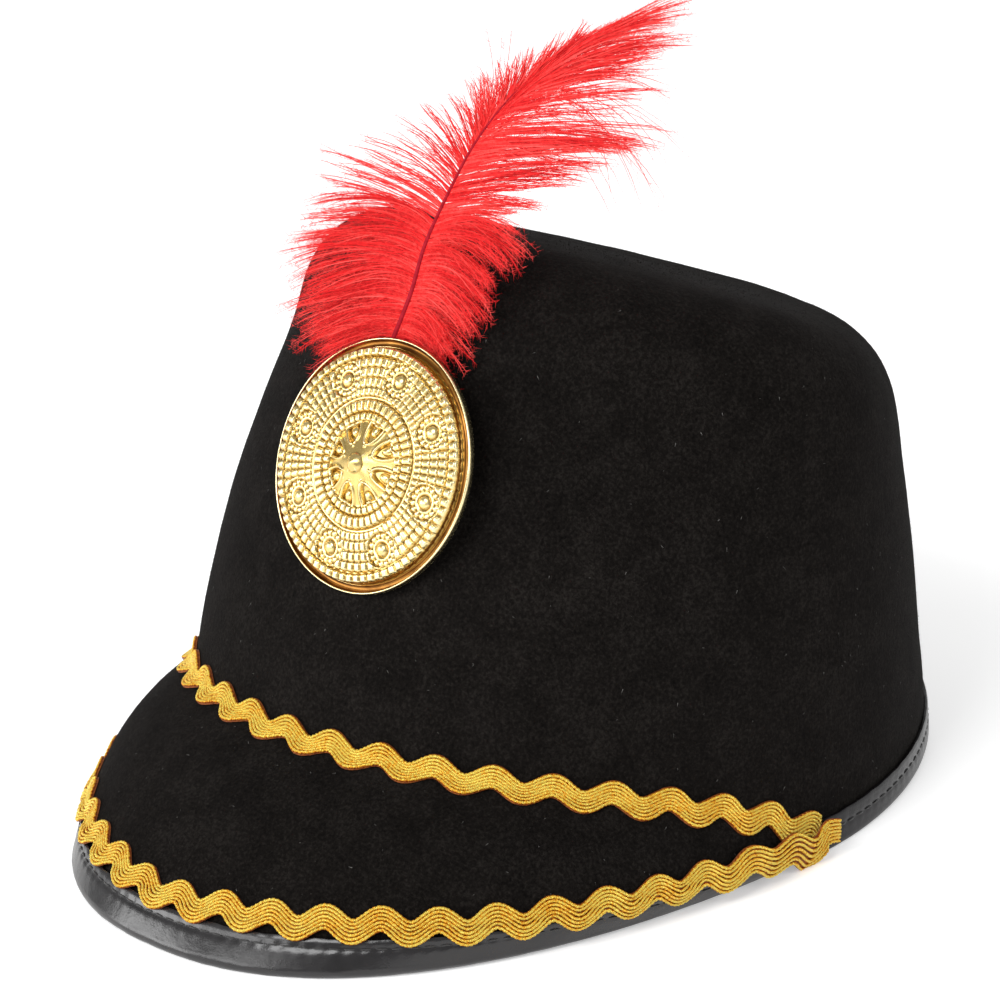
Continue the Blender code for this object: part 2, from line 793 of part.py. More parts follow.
def add_lock(form, frame, edge, first, share, side):
    """A pointed lock that grows from one stretch of the shaft's side."""
    low = edge[first]
    high = edge[first + 1]
    start = shaft_point(share)
    end = lock_end(share, side)
    along = shaft_direction(share)
    reach = (end - start).length
    bend = start + along * (reach * LOCK_SWEEP) + (end - start) * LOCK_RUN
    spread = along * (0.5 * (1 - LOCK_GAP) / LOCKS * shaft_share_length())
    previous = (low, high)
    for step in range(1, LOCK_STEPS):
        t = step / LOCK_STEPS
        middle = start * (1 - t) ** 2 + bend * (2 * t * (1 - t)) + end * t ** 2
        width = 1 - LOCK_TAPER * t
        pair = [form.verts.new(plume_place(frame, middle - spread * width)),
                form.verts.new(plume_place(frame, middle + spread * width))]
        form.faces.new((previous[0], previous[1], pair[1], pair[0]))
        previous = pair
    tip = form.verts.new(plume_place(frame, end))
    form.faces.new((previous[0], previous[1], tip))


def shaft_share_length():
    """The shaft's running length as a share of the plume's reach."""
    points = [shaft_point(i / 20) for i in range(21)]
    return sum((end - start).length for start, end in zip(points, points[1:]))


def make_material(name, colour, roughness, metallic=0.0):
    material = bpy.data.materials.new(name)
    material.use_nodes = True
    shader = material.node_tree.nodes["Principled BSDF"]
    shader.inputs["Base Color"].default_value = (*colour, 1)
    shader.inputs["Roughness"].default_value = roughness
    shader.inputs["Metallic"].default_value = metallic
    return material


def main():
    for thing in list(bpy.data.objects):
        bpy.data.objects.remove(thing, do_unlink=True)
    collection = bpy.data.collections.new("Drum major hat")
    bpy.context.scene.collection.children.link(collection)
    felt = make_material("Black felt", (0.012, 0.010, 0.009), 0.95)
    leather = make_material("Black binding", (0.010, 0.010, 0.011), 0.35)
    gold_braid = make_material("Gold braid", (0.75, 0.45, 0.08), 0.4, 0.8)
    gold = make_material("Gold medallion", (0.85, 0.68, 0.32), 0.3, 1.0)
    red = make_material("Red plume", (0.75, 0.01, 0.015), 0.8)
    make_crown(felt, collection)
    make_visor(felt, collection)
    make_crown_binding(leather, collection)
    make_visor_binding(leather, collection)
    seam_end = VISOR_END * BRAID_SEAM_SHARE
    make_braid("braid_seam", seam_line, seam_end, seam_braid_lift, 2, gold_braid, collection)
    rim_end = VISOR_END + BRAID_TAIL / BASE_HALF_DEPTH
    make_braid("braid_visor", rim_line, rim_end, rim_braid_lift, 1, gold_braid, collection)
    make_medallion(gold, collection)
    make_plume(red, collection)


main()
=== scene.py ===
"""The dressed drum major hat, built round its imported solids. Metres, +Z up, facing -Y."""

import random
from math import acos, copysign, cos, exp, hypot, pi, radians, sin, sqrt, tan

import bmesh
import bpy
import numpy as np
from mathutils import Matrix, Vector, noise


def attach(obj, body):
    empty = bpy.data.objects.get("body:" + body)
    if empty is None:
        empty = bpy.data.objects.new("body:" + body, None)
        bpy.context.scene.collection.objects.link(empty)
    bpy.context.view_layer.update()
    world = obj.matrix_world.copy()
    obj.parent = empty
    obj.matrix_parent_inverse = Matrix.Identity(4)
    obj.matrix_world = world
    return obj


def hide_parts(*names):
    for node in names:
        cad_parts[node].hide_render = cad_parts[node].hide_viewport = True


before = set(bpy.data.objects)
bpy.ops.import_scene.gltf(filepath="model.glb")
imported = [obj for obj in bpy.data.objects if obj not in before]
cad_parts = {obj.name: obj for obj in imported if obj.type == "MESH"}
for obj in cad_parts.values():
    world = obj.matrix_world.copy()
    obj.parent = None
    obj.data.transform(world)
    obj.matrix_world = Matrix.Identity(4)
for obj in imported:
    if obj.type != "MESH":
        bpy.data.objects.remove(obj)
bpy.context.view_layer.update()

# Sizes of the solids, repeated from their source
FELT = 0.002
LEATHER = 0.0008
BRAID_THICKNESS = 0.0012
GAP = 0.0003
BASE_HALF_WIDTH = 0.095
BASE_HALF_DEPTH = 0.106
BASE_FULLNESS = 1.9
RIM_HALF_WIDTH = 0.0885
RIM_HALF_DEPTH = 0.070
RIM_SET_BACK = 0.021
RIM_HEIGHT = 0.1095
RIM_TILT = radians(15)
SHOULDER_RADIUS = 0.0285
TOP_DOME = 0.0015
BULGE_FRONT = 0.008
BULGE_QUARTER = 0.0037
BULGE_SIDE = 0.002
BULGE_REAR = 0.0005
SEAM_HEIGHT = 0.0405
SEAM_POWER = 2.4
SEAM_REACH = radians(95.7)
VISOR_END = radians(89)
CORNER_GAP = radians(0.2)
CORNER_STEP = radians(0.7)
VISOR_HALF_DEPTH = 0.156
VISOR_CENTRE_BACK = 0.0092
VISOR_FULLNESS = 2.27
VISOR_BULGE = 0.006
VISOR_BULGE_REACH = 0.040
FLANGE_HEIGHT = 0.007
REAR_BINDING_HEIGHT = 0.0095
VISOR_BINDING_WIDTH = 0.0078
BINDING_UNDERSIDE = 0.007
RIM_FLATTEN = 0.0003
BINDING_ROUND = 0.0008
BRAID_WIDTH = 0.0064
BRAID_WAVE = 0.0017
SEAM_BRAID_PERIOD = 0.0151
SEAM_BRAID_LEAD = 0.0108
RIM_BRAID_PERIOD = 0.0143
RIM_BRAID_LEAD = 0.0007
BRAID_SEAM_SHARE = 0.997
BRAID_UP_VISOR = 0.0106
BRAID_OFF_TABLE = 0.0006
BRAID_TAIL = 0.0055
BRAID_ON_EDGE = 0.0008
BRAID_CLIMB = 0.0032
MEDAL_RADIUS = 0.0328
MEDAL_LEFT = 0.0076
MEDAL_CENTRE_HEIGHT = 0.1059
MEDAL_UPRIGHT = radians(6)
MEDAL_TURN = radians(2)
MEDAL_LIP = 0.0022
MEDAL_LIP_WALL = 0.0008
MEDAL_GROOVE = 0.0015
MEDAL_DOME = 0.0052
PLUME_REACH = 0.118
PLUME_TURN = radians(9)
PLUME_LEAN = radians(20)
QUILL = 0.0014
QUILL_RIGHT = 0.0051
QUILL_TUCK = 0.006
PLUME_CUP = 0.0035
# from_angle, from_height, to_angle, to_height, half_width, depth
DENTS = (
    (0.26, 0.79, 0.42, 0.83, 0.09, 0.7),
    (0.42, 0.83, 0.55, 0.86, 0.09, 1.0),
    (0.55, 0.87, 0.61, 0.96, 0.10, 1.0),
    (0.62, 0.96, 0.70, 1.04, 0.10, 0.8),
)
RIM_ROUND = FELT / 2 + GAP + LEATHER
OUTSIDE_BINDING = GAP + LEATHER
VISOR_HALF_WIDTH = BASE_HALF_WIDTH + OUTSIDE_BINDING
REAR_EDGE_HEIGHT = LEATHER + GAP
SHIFT_BACK = (VISOR_HALF_DEPTH - VISOR_CENTRE_BACK - BASE_HALF_DEPTH - OUTSIDE_BINDING) / 2


def signed_power(value, power):
    return copysign(abs(value) ** power, value)


def oval(half_width, half_depth, fullness, angle):
    power = 2 / fullness
    return (half_width * signed_power(sin(angle), power),
            -half_depth * signed_power(cos(angle), power))


def bulge_at(angle):
    front = max(cos(angle), 0) ** 2
    rear = max(-cos(angle), 0) ** 2
    push = BULGE_FRONT * front + BULGE_REAR * rear + BULGE_SIDE * (1 - front - rear)
    return push + BULGE_QUARTER * 4 * front * (1 - front)


def rim_point(angle):
    across, back = oval(RIM_HALF_WIDTH, RIM_HALF_DEPTH, BASE_FULLNESS, angle)
    return Vector((across, back + RIM_SET_BACK, RIM_HEIGHT - back * tan(RIM_TILT)))


def distance_to_line(point, start, end):
    run = end - start
    share = max(0, min(1, (point - start).dot(run) / run.dot(run)))
    return (point - start - run * share).length


def dent_at(angle, share):
    turn = BASE_HALF_WIDTH * pi / 2
    place = Vector((angle / (pi / 2) * turn, share * RIM_HEIGHT))
    deepest = 0
    for from_angle, from_height, to_angle, to_height, half_width, depth in DENTS:
        start = Vector((from_angle * turn, from_height * RIM_HEIGHT))
        end = Vector((to_angle * turn, to_height * RIM_HEIGHT))
        away = distance_to_line(place, start, end) / (half_width * BASE_HALF_WIDTH)
        deepest = max(deepest, depth * FELT * exp(-away * away))
    return deepest


def wall_point(angle, share):
    base_across, base_back = oval(BASE_HALF_WIDTH, BASE_HALF_DEPTH, BASE_FULLNESS, angle)
    rim = rim_point(angle)
    push = bulge_at(angle) * 4 * share * (1 - share) - dent_at(angle, share)
    across = base_across * (1 - share) + rim.x * share + push * sin(angle)
    back = base_back * (1 - share) + rim.y * share - push * cos(angle)
    return Vector((across, back + SHIFT_BACK, rim.z * share))


def wall_at_height(angle, height):
    return wall_point(angle, height / rim_point(angle).z)


def wall_frame(angle, height):
    step = 0.0005
    point = wall_at_height(angle, height)
    up = (wall_at_height(angle, height + step) - point).normalized()
    along = wall_at_height(angle + step, height) - wall_at_height(angle - step, height)
    return point, along.cross(up).normalized(), up


def seam_height(angle):
    return SEAM_HEIGHT * (1 - abs(angle / SEAM_REACH) ** SEAM_POWER)


CORNER_BACK = wall_at_height(VISOR_END, REAR_EDGE_HEIGHT).y - SHIFT_BACK
RIM_LAST = acos(((VISOR_CENTRE_BACK - CORNER_BACK) / (VISOR_HALF_DEPTH - RIM_ROUND))
                ** (VISOR_FULLNESS / 2))


def rim_centre(angle):
    across, back = oval(VISOR_HALF_WIDTH - RIM_ROUND, VISOR_HALF_DEPTH - RIM_ROUND,
                        VISOR_FULLNESS, angle / VISOR_END * RIM_LAST)
    return Vector((across, back + VISOR_CENTRE_BACK + SHIFT_BACK, RIM_ROUND - RIM_FLATTEN))


kept_columns = {}


def visor_column(angle):
    """Seam end, rim end, normal and length of the visor's top surface at an angle."""
    if angle in kept_columns:
        return kept_columns[angle]
    seam, wall_out, wall_up = wall_frame(angle, seam_height(angle))
    seam = seam - wall_up * GAP
    centre = rim_centre(angle)
    step = 0.002
    along = rim_centre(angle + step) - rim_centre(angle - step)
    normal = (centre - seam).cross(along)
    if normal.dot(wall_out) < 0:
        normal = -normal
    normal.normalize()
    edge = centre + normal * (FELT / 2)
    kept_columns[angle] = seam, edge, normal, (edge - seam).length
    return kept_columns[angle]


def visor_top(angle, up):
    seam, edge, normal, length = visor_column(angle)
    share = up / length
    bulge = VISOR_BULGE * min(1, length / VISOR_BULGE_REACH)
    rise = bulge * 4 * share * (1 - share)
    slope = bulge * 4 * (1 - 2 * share) / length
    inward = (seam - edge) / length
    return edge + inward * up + normal * rise, (normal - inward * slope).normalized()


def outer_skin(angle, up):
    corner = copysign(min(abs(angle), VISOR_END), angle)
    seam, edge, normal, length = visor_column(corner)
    blend = BRAID_WIDTH / 2
    past = up - length
    if angle != corner:
        return wall_frame(angle, seam_height(corner) + past)[:2]
    if past <= -blend:
        return visor_top(angle, up)
    height = seam_height(angle) + max(past, 0)
    point, wall_out, wall_up = wall_frame(angle, height)
    if past < 0:
        point, low_out = visor_top(angle, up)
    else:
        low_out = visor_top(angle, length)[1]
    share = max(0, min(1, (past + blend) / (2 * blend)))
    share = share * share * (3 - 2 * share)
    return point, low_out.lerp(wall_out, share).normalized()


def binding_reach(angle):
    return min(VISOR_BINDING_WIDTH, visor_column(angle)[3] * 0.5)


def binding_underside(angle):
    return min(BINDING_UNDERSIDE, visor_column(angle)[3] * 0.3)


def ramp(value, start, end):
    share = max(0, min(1, (value - start) / (end - start)))
    return share * share * (3 - 2 * share)


# Mesh helpers

def new_mesh(name, points, faces, uvs=None):
    """A mesh from points and from groups of equal-sided faces, with a UV for each point."""
    mesh = bpy.data.meshes.new(name)
    points = np.asarray(points, np.float32).reshape(-1, 3)
    mesh.from_pydata(points.tolist(), [], [face for group in faces for face in group.tolist()])
    if uvs is not None:
        loops = np.concatenate([group.ravel() for group in faces])
        layer = mesh.uv_layers.new(name="UVMap")
        layer.data.foreach_set("uv", np.asarray(uvs, np.float32)[loops].ravel())
    mesh.validate()
    mesh.shade_smooth()
    return mesh


def grid_faces(rows, columns, around=False, first=0, flip=False):
    row, column = np.meshgrid(np.arange(rows - 1), np.arange(columns if around else columns - 1),
                              indexing="ij")
    after = (column + 1) % columns
    quads = np.stack([row * columns + column, row * columns + after,
                      (row + 1) * columns + after, (row + 1) * columns + column], -1)
    quads = quads.reshape(-1, 4) + first
    return quads[:, ::-1] if flip else quads


def turn_out(mesh):
    form = bmesh.new()
    form.from_mesh(mesh)
    bmesh.ops.recalc_face_normals(form, faces=form.faces)
    form.to_mesh(mesh)
    form.free()


def add_piece(name, mesh, material, slot, *nodes):
    thing = bpy.data.objects.new(name, mesh)
    mesh.materials.append(material)
    bpy.context.scene.collection.objects.link(thing)
    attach(thing, "root")
    if nodes:
        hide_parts(*nodes)
    return thing


def unit(rows):
    return rows / np.maximum(np.linalg.norm(rows, axis=-1, keepdims=True), 1e-12)


def directions(line):
    return unit(np.gradient(line, axis=0))


def read_table(place, keys, table):
    """A table's columns, read at places between its rows."""
    return np.stack([np.interp(place, keys, column) for column in np.transpose(table)], -1)


def array_of(points):
    return np.array([[tuple(point) for point in row] for row in points])


def swells(points, *waves):
    """Smooth swells summed at points; each wave has a height, a size across and a seed."""
    total = 0
    for height, size, seed in waves:
        offset = Vector((seed * 7.13, seed * 3.71, seed * 5.27))
        values = [noise.noise(Vector(p) / size + offset) for p in points.reshape(-1, 3)]
        total = total + height * np.array(values).reshape(points.shape[:-1])
    return total


def grid_normals(grid, around=True):
    if around:
        along = np.roll(grid, -1, 1) - np.roll(grid, 1, 1)
    else:
        along = np.gradient(grid, axis=1)
    return unit(np.cross(along, np.gradient(grid, axis=0)))


# Materials

class Nodes:
    """Short hand for building a material's node tree."""

    def __init__(self, name):
        self.material = bpy.data.materials.new(name)
        self.material.use_nodes = True
        self.tree = self.material.node_tree
        self.shader = self.tree.nodes["Principled BSDF"]
        self.place = self.add("ShaderNodeTexCoord").outputs["Object"]

    def add(self, kind, links=(), **values):
        node = self.tree.nodes.new(kind)
        for key, value in values.items():
            if hasattr(node, key):
                setattr(node, key, value)
            else:
                node.inputs[key.replace("_", " ")].default_value = value
        for key, source in dict(links).items():
            self.tree.links.new(source, node.inputs[key])
        return node

    def noise(self, scale, detail=2.0, roughness=0.5, place=None):
        node = self.add("ShaderNodeTexNoise", {"Vector": place or self.place}, Scale=scale,
                        Detail=detail, Roughness=roughness)
        return node.outputs["Fac"]

    def stretched(self, scale):
        return self.add("ShaderNodeMapping", {"Vector": self.place}, Scale=scale).outputs["Vector"]

    def ramp(self, source, *stops):
        node = self.add("ShaderNodeValToRGB", {"Fac": source})
        elements = node.color_ramp.elements
        while len(elements) < len(stops):
            elements.new(0.5)
        for element, (place, colour) in zip(elements, stops):
            element.position = place
            element.color = (*colour, 1)
        return node.outputs["Color"]

    def math(self, operation, first, second=None):
        node = self.add("ShaderNodeMath", operation=operation)
        for socket, value in zip(node.inputs, (first, second)):
            if isinstance(value, (int, float)):
                socket.default_value = value
            elif value is not None:
                self.tree.links.new(value, socket)
        return node.outputs[0]

    def scaled(self, source, factor, offset):
        return self.math("ADD", self.math("MULTIPLY", source, factor), offset)

    def sum_of(self, first, second):
        """Adds two sources, each given with its weight."""
        return self.math("ADD", self.math("MULTIPLY", *first), self.math("MULTIPLY", *second))

    def uv_parts(self):
        uv = self.add("ShaderNodeTexCoord").outputs["UV"]
        split = self.add("ShaderNodeSeparateXYZ", {"Vector": uv})
        return split.outputs["X"], split.outputs["Y"]

    def bump(self, height, strength, distance, under=None):
        links = {"Height": height, "Normal": under} if under else {"Height": height}
        return self.add("ShaderNodeBump", links, Strength=strength,
                        Distance=distance).outputs["Normal"]

    def set(self, **values):
        for key, value in values.items():
            socket = self.shader.inputs[key.replace("_", " ")]
            if hasattr(value, "links"):
                self.tree.links.new(value, socket)
            elif isinstance(value, tuple):
                socket.default_value = (*value, 1)
            else:
                socket.default_value = value


def felt_material():
    """Black wool felt: short nap, cloudy wear and a soft pale edge."""
    n = Nodes("Black_felt")
    cloud = n.noise(90, 5, 0.65)
    fibre = n.noise(1100, 4, 0.75)
    streak = n.noise(1, 3, 0.6, n.stretched((2600, 2600, 520)))
    colour = n.ramp(n.sum_of((cloud, 0.28), (fibre, 0.72)), (0.36, (0.0022, 0.0018, 0.0016)),
                    (0.50, (0.0060, 0.0050, 0.0044)), (0.64, (0.0150, 0.0130, 0.0116)))
    height = n.math("ADD", fibre, n.math("MULTIPLY", streak, 0.7))
    n.set(Base_Color=colour, Roughness=0.93, Sheen_Weight=0.016, Sheen_Roughness=0.35,
          Sheen_Tint=(0.60, 0.55, 0.52), Specular_IOR_Level=0.05,
          Normal=n.bump(height, 0.55, 0.0006, n.bump(n.noise(260, 3), 0.35, 0.0008)))
    return n.material


def leather_material(name, shine):
    """Black leatherette: satin, finely grained, a little scuffed."""
    n = Nodes(name)
    grain = n.add("ShaderNodeTexVoronoi", {"Vector": n.place}, Scale=1700.0).outputs["Distance"]
    cloud = n.noise(90, 4, 0.6)
    colour = n.ramp(cloud, (0.3, (0.0045, 0.0038, 0.0044)), (0.7, (0.0095, 0.0082, 0.0092)))
    n.set(Base_Color=colour, Roughness=n.scaled(cloud, 0.20, 0.17), Specular_IOR_Level=shine,
          Normal=n.bump(grain, 0.05, 0.0003, n.bump(n.noise(260, 3), 0.16, 0.0006)))
    return n.material


def thread_material():
    n = Nodes("Black_thread")
    twist = n.noise(1, 2, 0.5, n.stretched((5200, 5200, 1700)))
    n.set(Base_Color=n.ramp(twist, (0.3, (0.006, 0.006, 0.006)), (0.7, (0.030, 0.029, 0.029))),
          Roughness=0.6, Sheen_Weight=0.3, Sheen_Roughness=0.4, Normal=n.bump(twist, 0.5, 0.0002))
    return n.material


def braid_material():
    """Gold metallic thread wound round cords; UV x runs along a cord in millimetres."""
    n = Nodes("Gold_braid")
    along, around = n.uv_parts()
    slope = n.math("ADD", n.math("MULTIPLY", along, 2.4), around)
    wind = n.math("SINE", n.math("MULTIPLY", slope, 2 * pi))
    fleck = n.noise(1400, 2, 0.6)
    patch = n.noise(120, 3, 0.5)
    mixed = n.sum_of((fleck, 0.72), (patch, 0.28))
    # painted light and shade: the cord's tops, where UV y is near a quarter, are painted paler; its
    # low sides, where UV y is far from a quarter, sink into painted red-brown shade
    high = n.math("SINE", n.math("MULTIPLY", around, 2 * pi))
    mixed = n.sum_of((mixed, 0.75), (high, 0.25))
    mixed = n.math("ADD", mixed, n.math("MULTIPLY", wind, 0.04))
    colour = n.ramp(mixed, (0.40, (0.34, 0.060, 0.005)), (0.47, (0.95, 0.36, 0.018)),
                    (0.53, (1.0, 0.52, 0.034)), (0.63, (1.0, 0.78, 0.14)))
    n.set(Base_Color=colour, Metallic=0.35, Specular_IOR_Level=0.22,
          Roughness=n.scaled(fleck, 0.3, 0.16),
          Normal=n.bump(wind, 0.9, 0.00018, n.bump(fleck, 0.6, 0.0003)))
    return n.material


def ground_material():
    # painted shade: the ground between the cords is dark red-brown, for the shade in the grooves
    n = Nodes("Braid_ground_shade")
    shade = n.ramp(n.noise(1500), (0.3, (0.13, 0.024, 0.005)), (0.7, (0.40, 0.110, 0.014)))
    n.set(Base_Color=shade, Roughness=0.6, Metallic=0.3, Normal=n.bump(n.noise(2500), 0.5, 0.0002))
    return n.material


def gold_material():
    """Thin stamped brass sheet with a soft shine, with painted shade in its hollows and painted
    highlights on its raised parts.
    """
    n = Nodes("Gold_medallion")
    cloud = n.noise(140, 4, 0.6)
    fine = n.noise(1800, 3, 0.6)
    # painted shade and highlight: hollows, where pointiness is low, are coloured dark brown, raised
    # parts pale gold
    hollow = n.add("ShaderNodeNewGeometry").outputs["Pointiness"]
    painted_shade_and_highlight = n.ramp(hollow, (0.45, (0.22, 0.105, 0.014)), (0.50, (0.82, 0.60, 0.21)),
                  (0.55, (1.0, 0.88, 0.52)))
    tint = n.ramp(cloud, (0.3, (0.86, 0.84, 0.80)), (0.7, (1.0, 1.0, 1.0)))
    mix = n.add("ShaderNodeMix", data_type="RGBA", blend_type="MULTIPLY")
    mix.inputs[0].default_value = 1.0
    n.tree.links.new(painted_shade_and_highlight, mix.inputs[6])
    n.tree.links.new(tint, mix.inputs[7])
    n.set(Base_Color=mix.outputs[2], Metallic=1.0, Roughness=n.scaled(fine, 0.16, 0.17),
          Normal=n.bump(fine, 0.06, 0.0002, n.bump(n.noise(330, 3), 0.10, 0.0004)))
    return n.material


def dark_groove_material():
    # a darker brown metal for the groove inside the medallion's lip
    n = Nodes("Dark_groove")
    shade = n.ramp(n.noise(160, 3), (0.3, (0.12, 0.045, 0.010)), (0.7, (0.34, 0.16, 0.036)))
    n.set(Base_Color=shade, Metallic=1.0, Roughness=0.3)
    return n.material


def plume_material(name, low, middle, high):
    """Dyed barbs; UV x holds each barb's own tone."""
    n = Nodes(name)
    tone = n.uv_parts()[0]
    strand = n.noise(900, 3, 0.6)
    mixed = n.sum_of((strand, 0.5), (tone, 0.5))
    n.set(Base_Color=n.ramp(mixed, (0.15, low), (0.45, middle), (0.85, high)),
          Roughness=0.7, Specular_IOR_Level=0.12, Sheen_Weight=0.05, Sheen_Roughness=0.4,
          Sheen_Tint=(1.0, 0.3, 0.28), Normal=n.bump(strand, 0.3, 0.0002))
    return n.material


# Crown and visor felt

def smooth_rows(grid, first, last, times):
    """Rounds a grid's profile between two rows, so that the wall runs into the shoulder."""
    weight = np.zeros((len(grid), 1, 1))
    weight[first:last] = 1
    for i in range(4):
        weight[first + i] = weight[last - 1 - i] = (i + 1) / 5
    for i in range(times):
        blurred = grid.copy()
        blurred[1:-1] = (grid[:-2] + 2 * grid[1:-1] + grid[2:]) / 4
        grid = grid + (blurred - grid) * weight
    return grid


def make_crown(felt):
    """Outer and inner skins of felt, joined along the open lower edge."""
    corner = VISOR_END + CORNER_GAP
    front = [VISOR_END * (2 * i / 150 - 1) for i in range(151)]
    edges = [(angle, seam_height(angle)) for angle in [-corner, *front, corner]]
    edges += [(angle, REAR_EDGE_HEIGHT) for angle in rear_angles(138)]
    wall_rows, shoulder_rows, top_rows = 58, 18, 12
    rows = []
    for i in range(wall_rows + 1):
        rows.append([wall_point(a, e / rim_point(a).z
                                + (1 - e / rim_point(a).z) * i / wall_rows) for a, e in edges])
    for i in range(1, shoulder_rows + 1):
        turn = pi / 2 * i / shoulder_rows
        inset = SHOULDER_RADIUS * (1 - cos(turn))
        rise = SHOULDER_RADIUS * sin(turn)
        rows.append([p + Vector((-sin(a) * inset, cos(a) * inset, rise))
                     for p, (a, e) in zip(rows[wall_rows], edges)])
    grid = array_of(rows)
    last = grid[-1]
    centre = last.mean(0) + (0, 0, TOP_DOME)
    top = []
    for i in range(1, top_rows):
        share = i / top_rows
        row = last * (1 - share) + centre * share
        row[:, 2] += TOP_DOME * share * (1 - share)
        top.append(row)
    grid = np.concatenate([grid, np.array(top)])
    grid = smooth_rows(grid, wall_rows - 12, wall_rows + shoulder_rows + 8, 16)
    fade = np.clip(np.arange(len(grid)) / 9, 0, 1)[:, None]
    swell = swells(grid, (0.00038, 0.032, 1), (0.00016, 0.011, 2))
    grid = grid + grid_normals(grid) * (swell * fade)[..., None]
    inner = grid - grid_normals(grid) * FELT
    count, columns = grid.shape[:2]
    points = np.concatenate([grid.reshape(-1, 3), [centre], inner.reshape(-1, 3),
                             [centre - (0, 0, FELT)]])
    shift = count * columns + 1
    ring = np.arange(columns)
    after = (ring + 1) % columns
    low = (count - 1) * columns
    hub = np.full(columns, shift - 1)
    faces = [grid_faces(count, columns, True), grid_faces(count, columns, True, shift, True),
             np.stack([ring, ring + shift, after + shift, after], -1),
             np.concatenate([np.stack([low + ring, low + after, hub], -1),
                             np.stack([low + after, low + ring, hub], -1) + shift])]
    mesh = new_mesh("crown_felt", points, faces)
    turn_out(mesh)
    add_piece("crown_felt", mesh, felt, "felt", "crown")
    return grid


NAP_FIBRES = 46000
LINT_SPECKS = 520


def scatter(grid, around, count, rnd):
    """Places spread evenly by area over a grid of points, with their outward directions."""
    after = np.roll(grid, -1, 1) if around else grid[:, 1:]
    base = grid if around else grid[:, :-1]
    corner, along, up = base[:-1], after[:-1], base[1:]
    cross = np.cross(along - corner, up - corner)
    chance = np.cumsum(np.linalg.norm(cross, axis=-1).ravel())
    picks = np.searchsorted(chance, rnd.random(count) * chance[-1])
    u, v = rnd.random((count, 1)), rnd.random((count, 1))
    corner, along, up, cross = (a.reshape(-1, 3)[picks] for a in (corner, along, up, cross))
    return corner + (along - corner) * u + (up - corner) * v, unit(cross), up - corner


def add_nap(name, grids, felt, lint):
    """Short fibres that stand from the felt, and a few pale specks of lint on it."""
    rnd = np.random.default_rng(5)
    for kind, total, material in (("nap", NAP_FIBRES, felt), ("lint", LINT_SPECKS, lint)):
        parts = []
        for grid, around, share, facing in grids:
            count = int(total * share)
            place, out, up = scatter(grid, around, count, rnd)
            out = out * np.sign((out * facing(place)).sum(1, keepdims=True))
            up = unit(up)
            turn = rnd.uniform(0, 2 * pi, (count, 1))
            lean = np.cross(up, out) * np.cos(turn) + up * (np.sin(turn) - 0.6)
            across = np.cross(lean, out)
            if kind == "nap":
                long = rnd.uniform(0.00025, 0.0008, (count, 1))
                tip = place + (out * rnd.uniform(0.25, 0.9, (count, 1)) + lean * 0.8) * long
                half = across * 0.000035
            else:
                tip = place + lean * rnd.uniform(0.0002, 0.0009, (count, 1)) + out * 0.00012
                place = place + out * 0.0001
                half = across * 0.00005
            parts.append(np.stack([place - half, place + half, tip], 1))
        tris = np.concatenate(parts)
        mesh = new_mesh(name + kind, tris, [np.arange(len(tris) * 3).reshape(-1, 3)])
        add_piece(name + kind, mesh, material, "felt")


def lint_material():
    n = Nodes("Lint")
    shade = n.ramp(n.noise(900), (0.3, (0.05, 0.048, 0.045)), (0.7, (0.22, 0.21, 0.20)))
    n.set(Base_Color=shade, Roughness=0.9)
    return n.material


def visor_angles(count):
    end = VISOR_END - CORNER_STEP
    return [end * (2 * i / count - 1) for i in range(count + 1)]


def make_visor(felt):
    """Felt from the flange inside the crown over the bulged top and back underneath."""
    sections = []
    for angle in visor_angles(230):
        seam, wall_out, wall_up = wall_frame(angle, seam_height(angle))
        inside = seam - wall_out * (FELT + GAP)
        hollow = inside - wall_out * FELT
        length = visor_column(angle)[3]
        reach, under = binding_reach(angle), binding_underside(angle)
        section = [inside + wall_up * FLANGE_HEIGHT, inside - wall_up * GAP]
        section += [visor_top(angle, reach + (length - reach) * (1 - i / 30))[0]
                    for i in range(31)]
        section.append(visor_top(angle, 0)[0])
        for up in [0] + [under + (length - FELT - under) * i / 22 for i in range(23)]:
            point, out = visor_top(angle, up)
            section.append(point - out * FELT)
        section += [hollow - wall_up * (GAP + FELT), hollow + wall_up * FLANGE_HEIGHT]
        sections.append(section)
    grid = array_of(sections)
    top = grid[:, 4:33]
    out = grid_normals(top, False)
    out = out * np.sign((out * (0, -0.5, 1)).sum(-1, keepdims=True))
    swell = swells(top, (0.00022, 0.024, 3), (0.00012, 0.009, 4))
    row = np.arange(top.shape[1])
    edge = np.clip(np.minimum(row, row[::-1]) / 5, 0, 1)
    grid[:, 4:33] = top + out * (swell * edge)[..., None]
    add_tube("visor_felt", grid, felt, "felt", "visor")
    return grid[:, 4:33]


def add_tube(name, grid, material, slot, *nodes):
    """A closed piece from equal cross-sections, with a flat cap at each end."""
    rows, columns = grid.shape[:2]
    mesh = new_mesh(name, grid, [grid_faces(rows, columns, True)])
    form = bmesh.new()
    form.from_mesh(mesh)
    form.verts.ensure_lookup_table()
    for first in (0, (rows - 1) * columns):
        form.faces.new([form.verts[first + i] for i in range(columns)])
    bmesh.ops.recalc_face_normals(form, faces=form.faces)
    form.to_mesh(mesh)
    form.free()
    mesh.shade_smooth()
    mesh.set_sharp_from_angle(angle=radians(50))
    add_piece(name, mesh, material, slot, *nodes)


# Bindings and stitches

STITCH_PITCH = 0.0040
STITCH_LENGTH = 0.0031
STITCH_ROUND = 0.00023
VISOR_STITCH_UP = 0.0053
REAR_STITCH_UP = 0.0054
STITCH_SINK = OUTSIDE_BINDING - 0.00016
EDGE_TUCK = 0.00022


def lengths_along(points):
    points = np.asarray(points)
    return np.concatenate([[0], np.cumsum(np.linalg.norm(np.diff(points, axis=0), axis=1))])


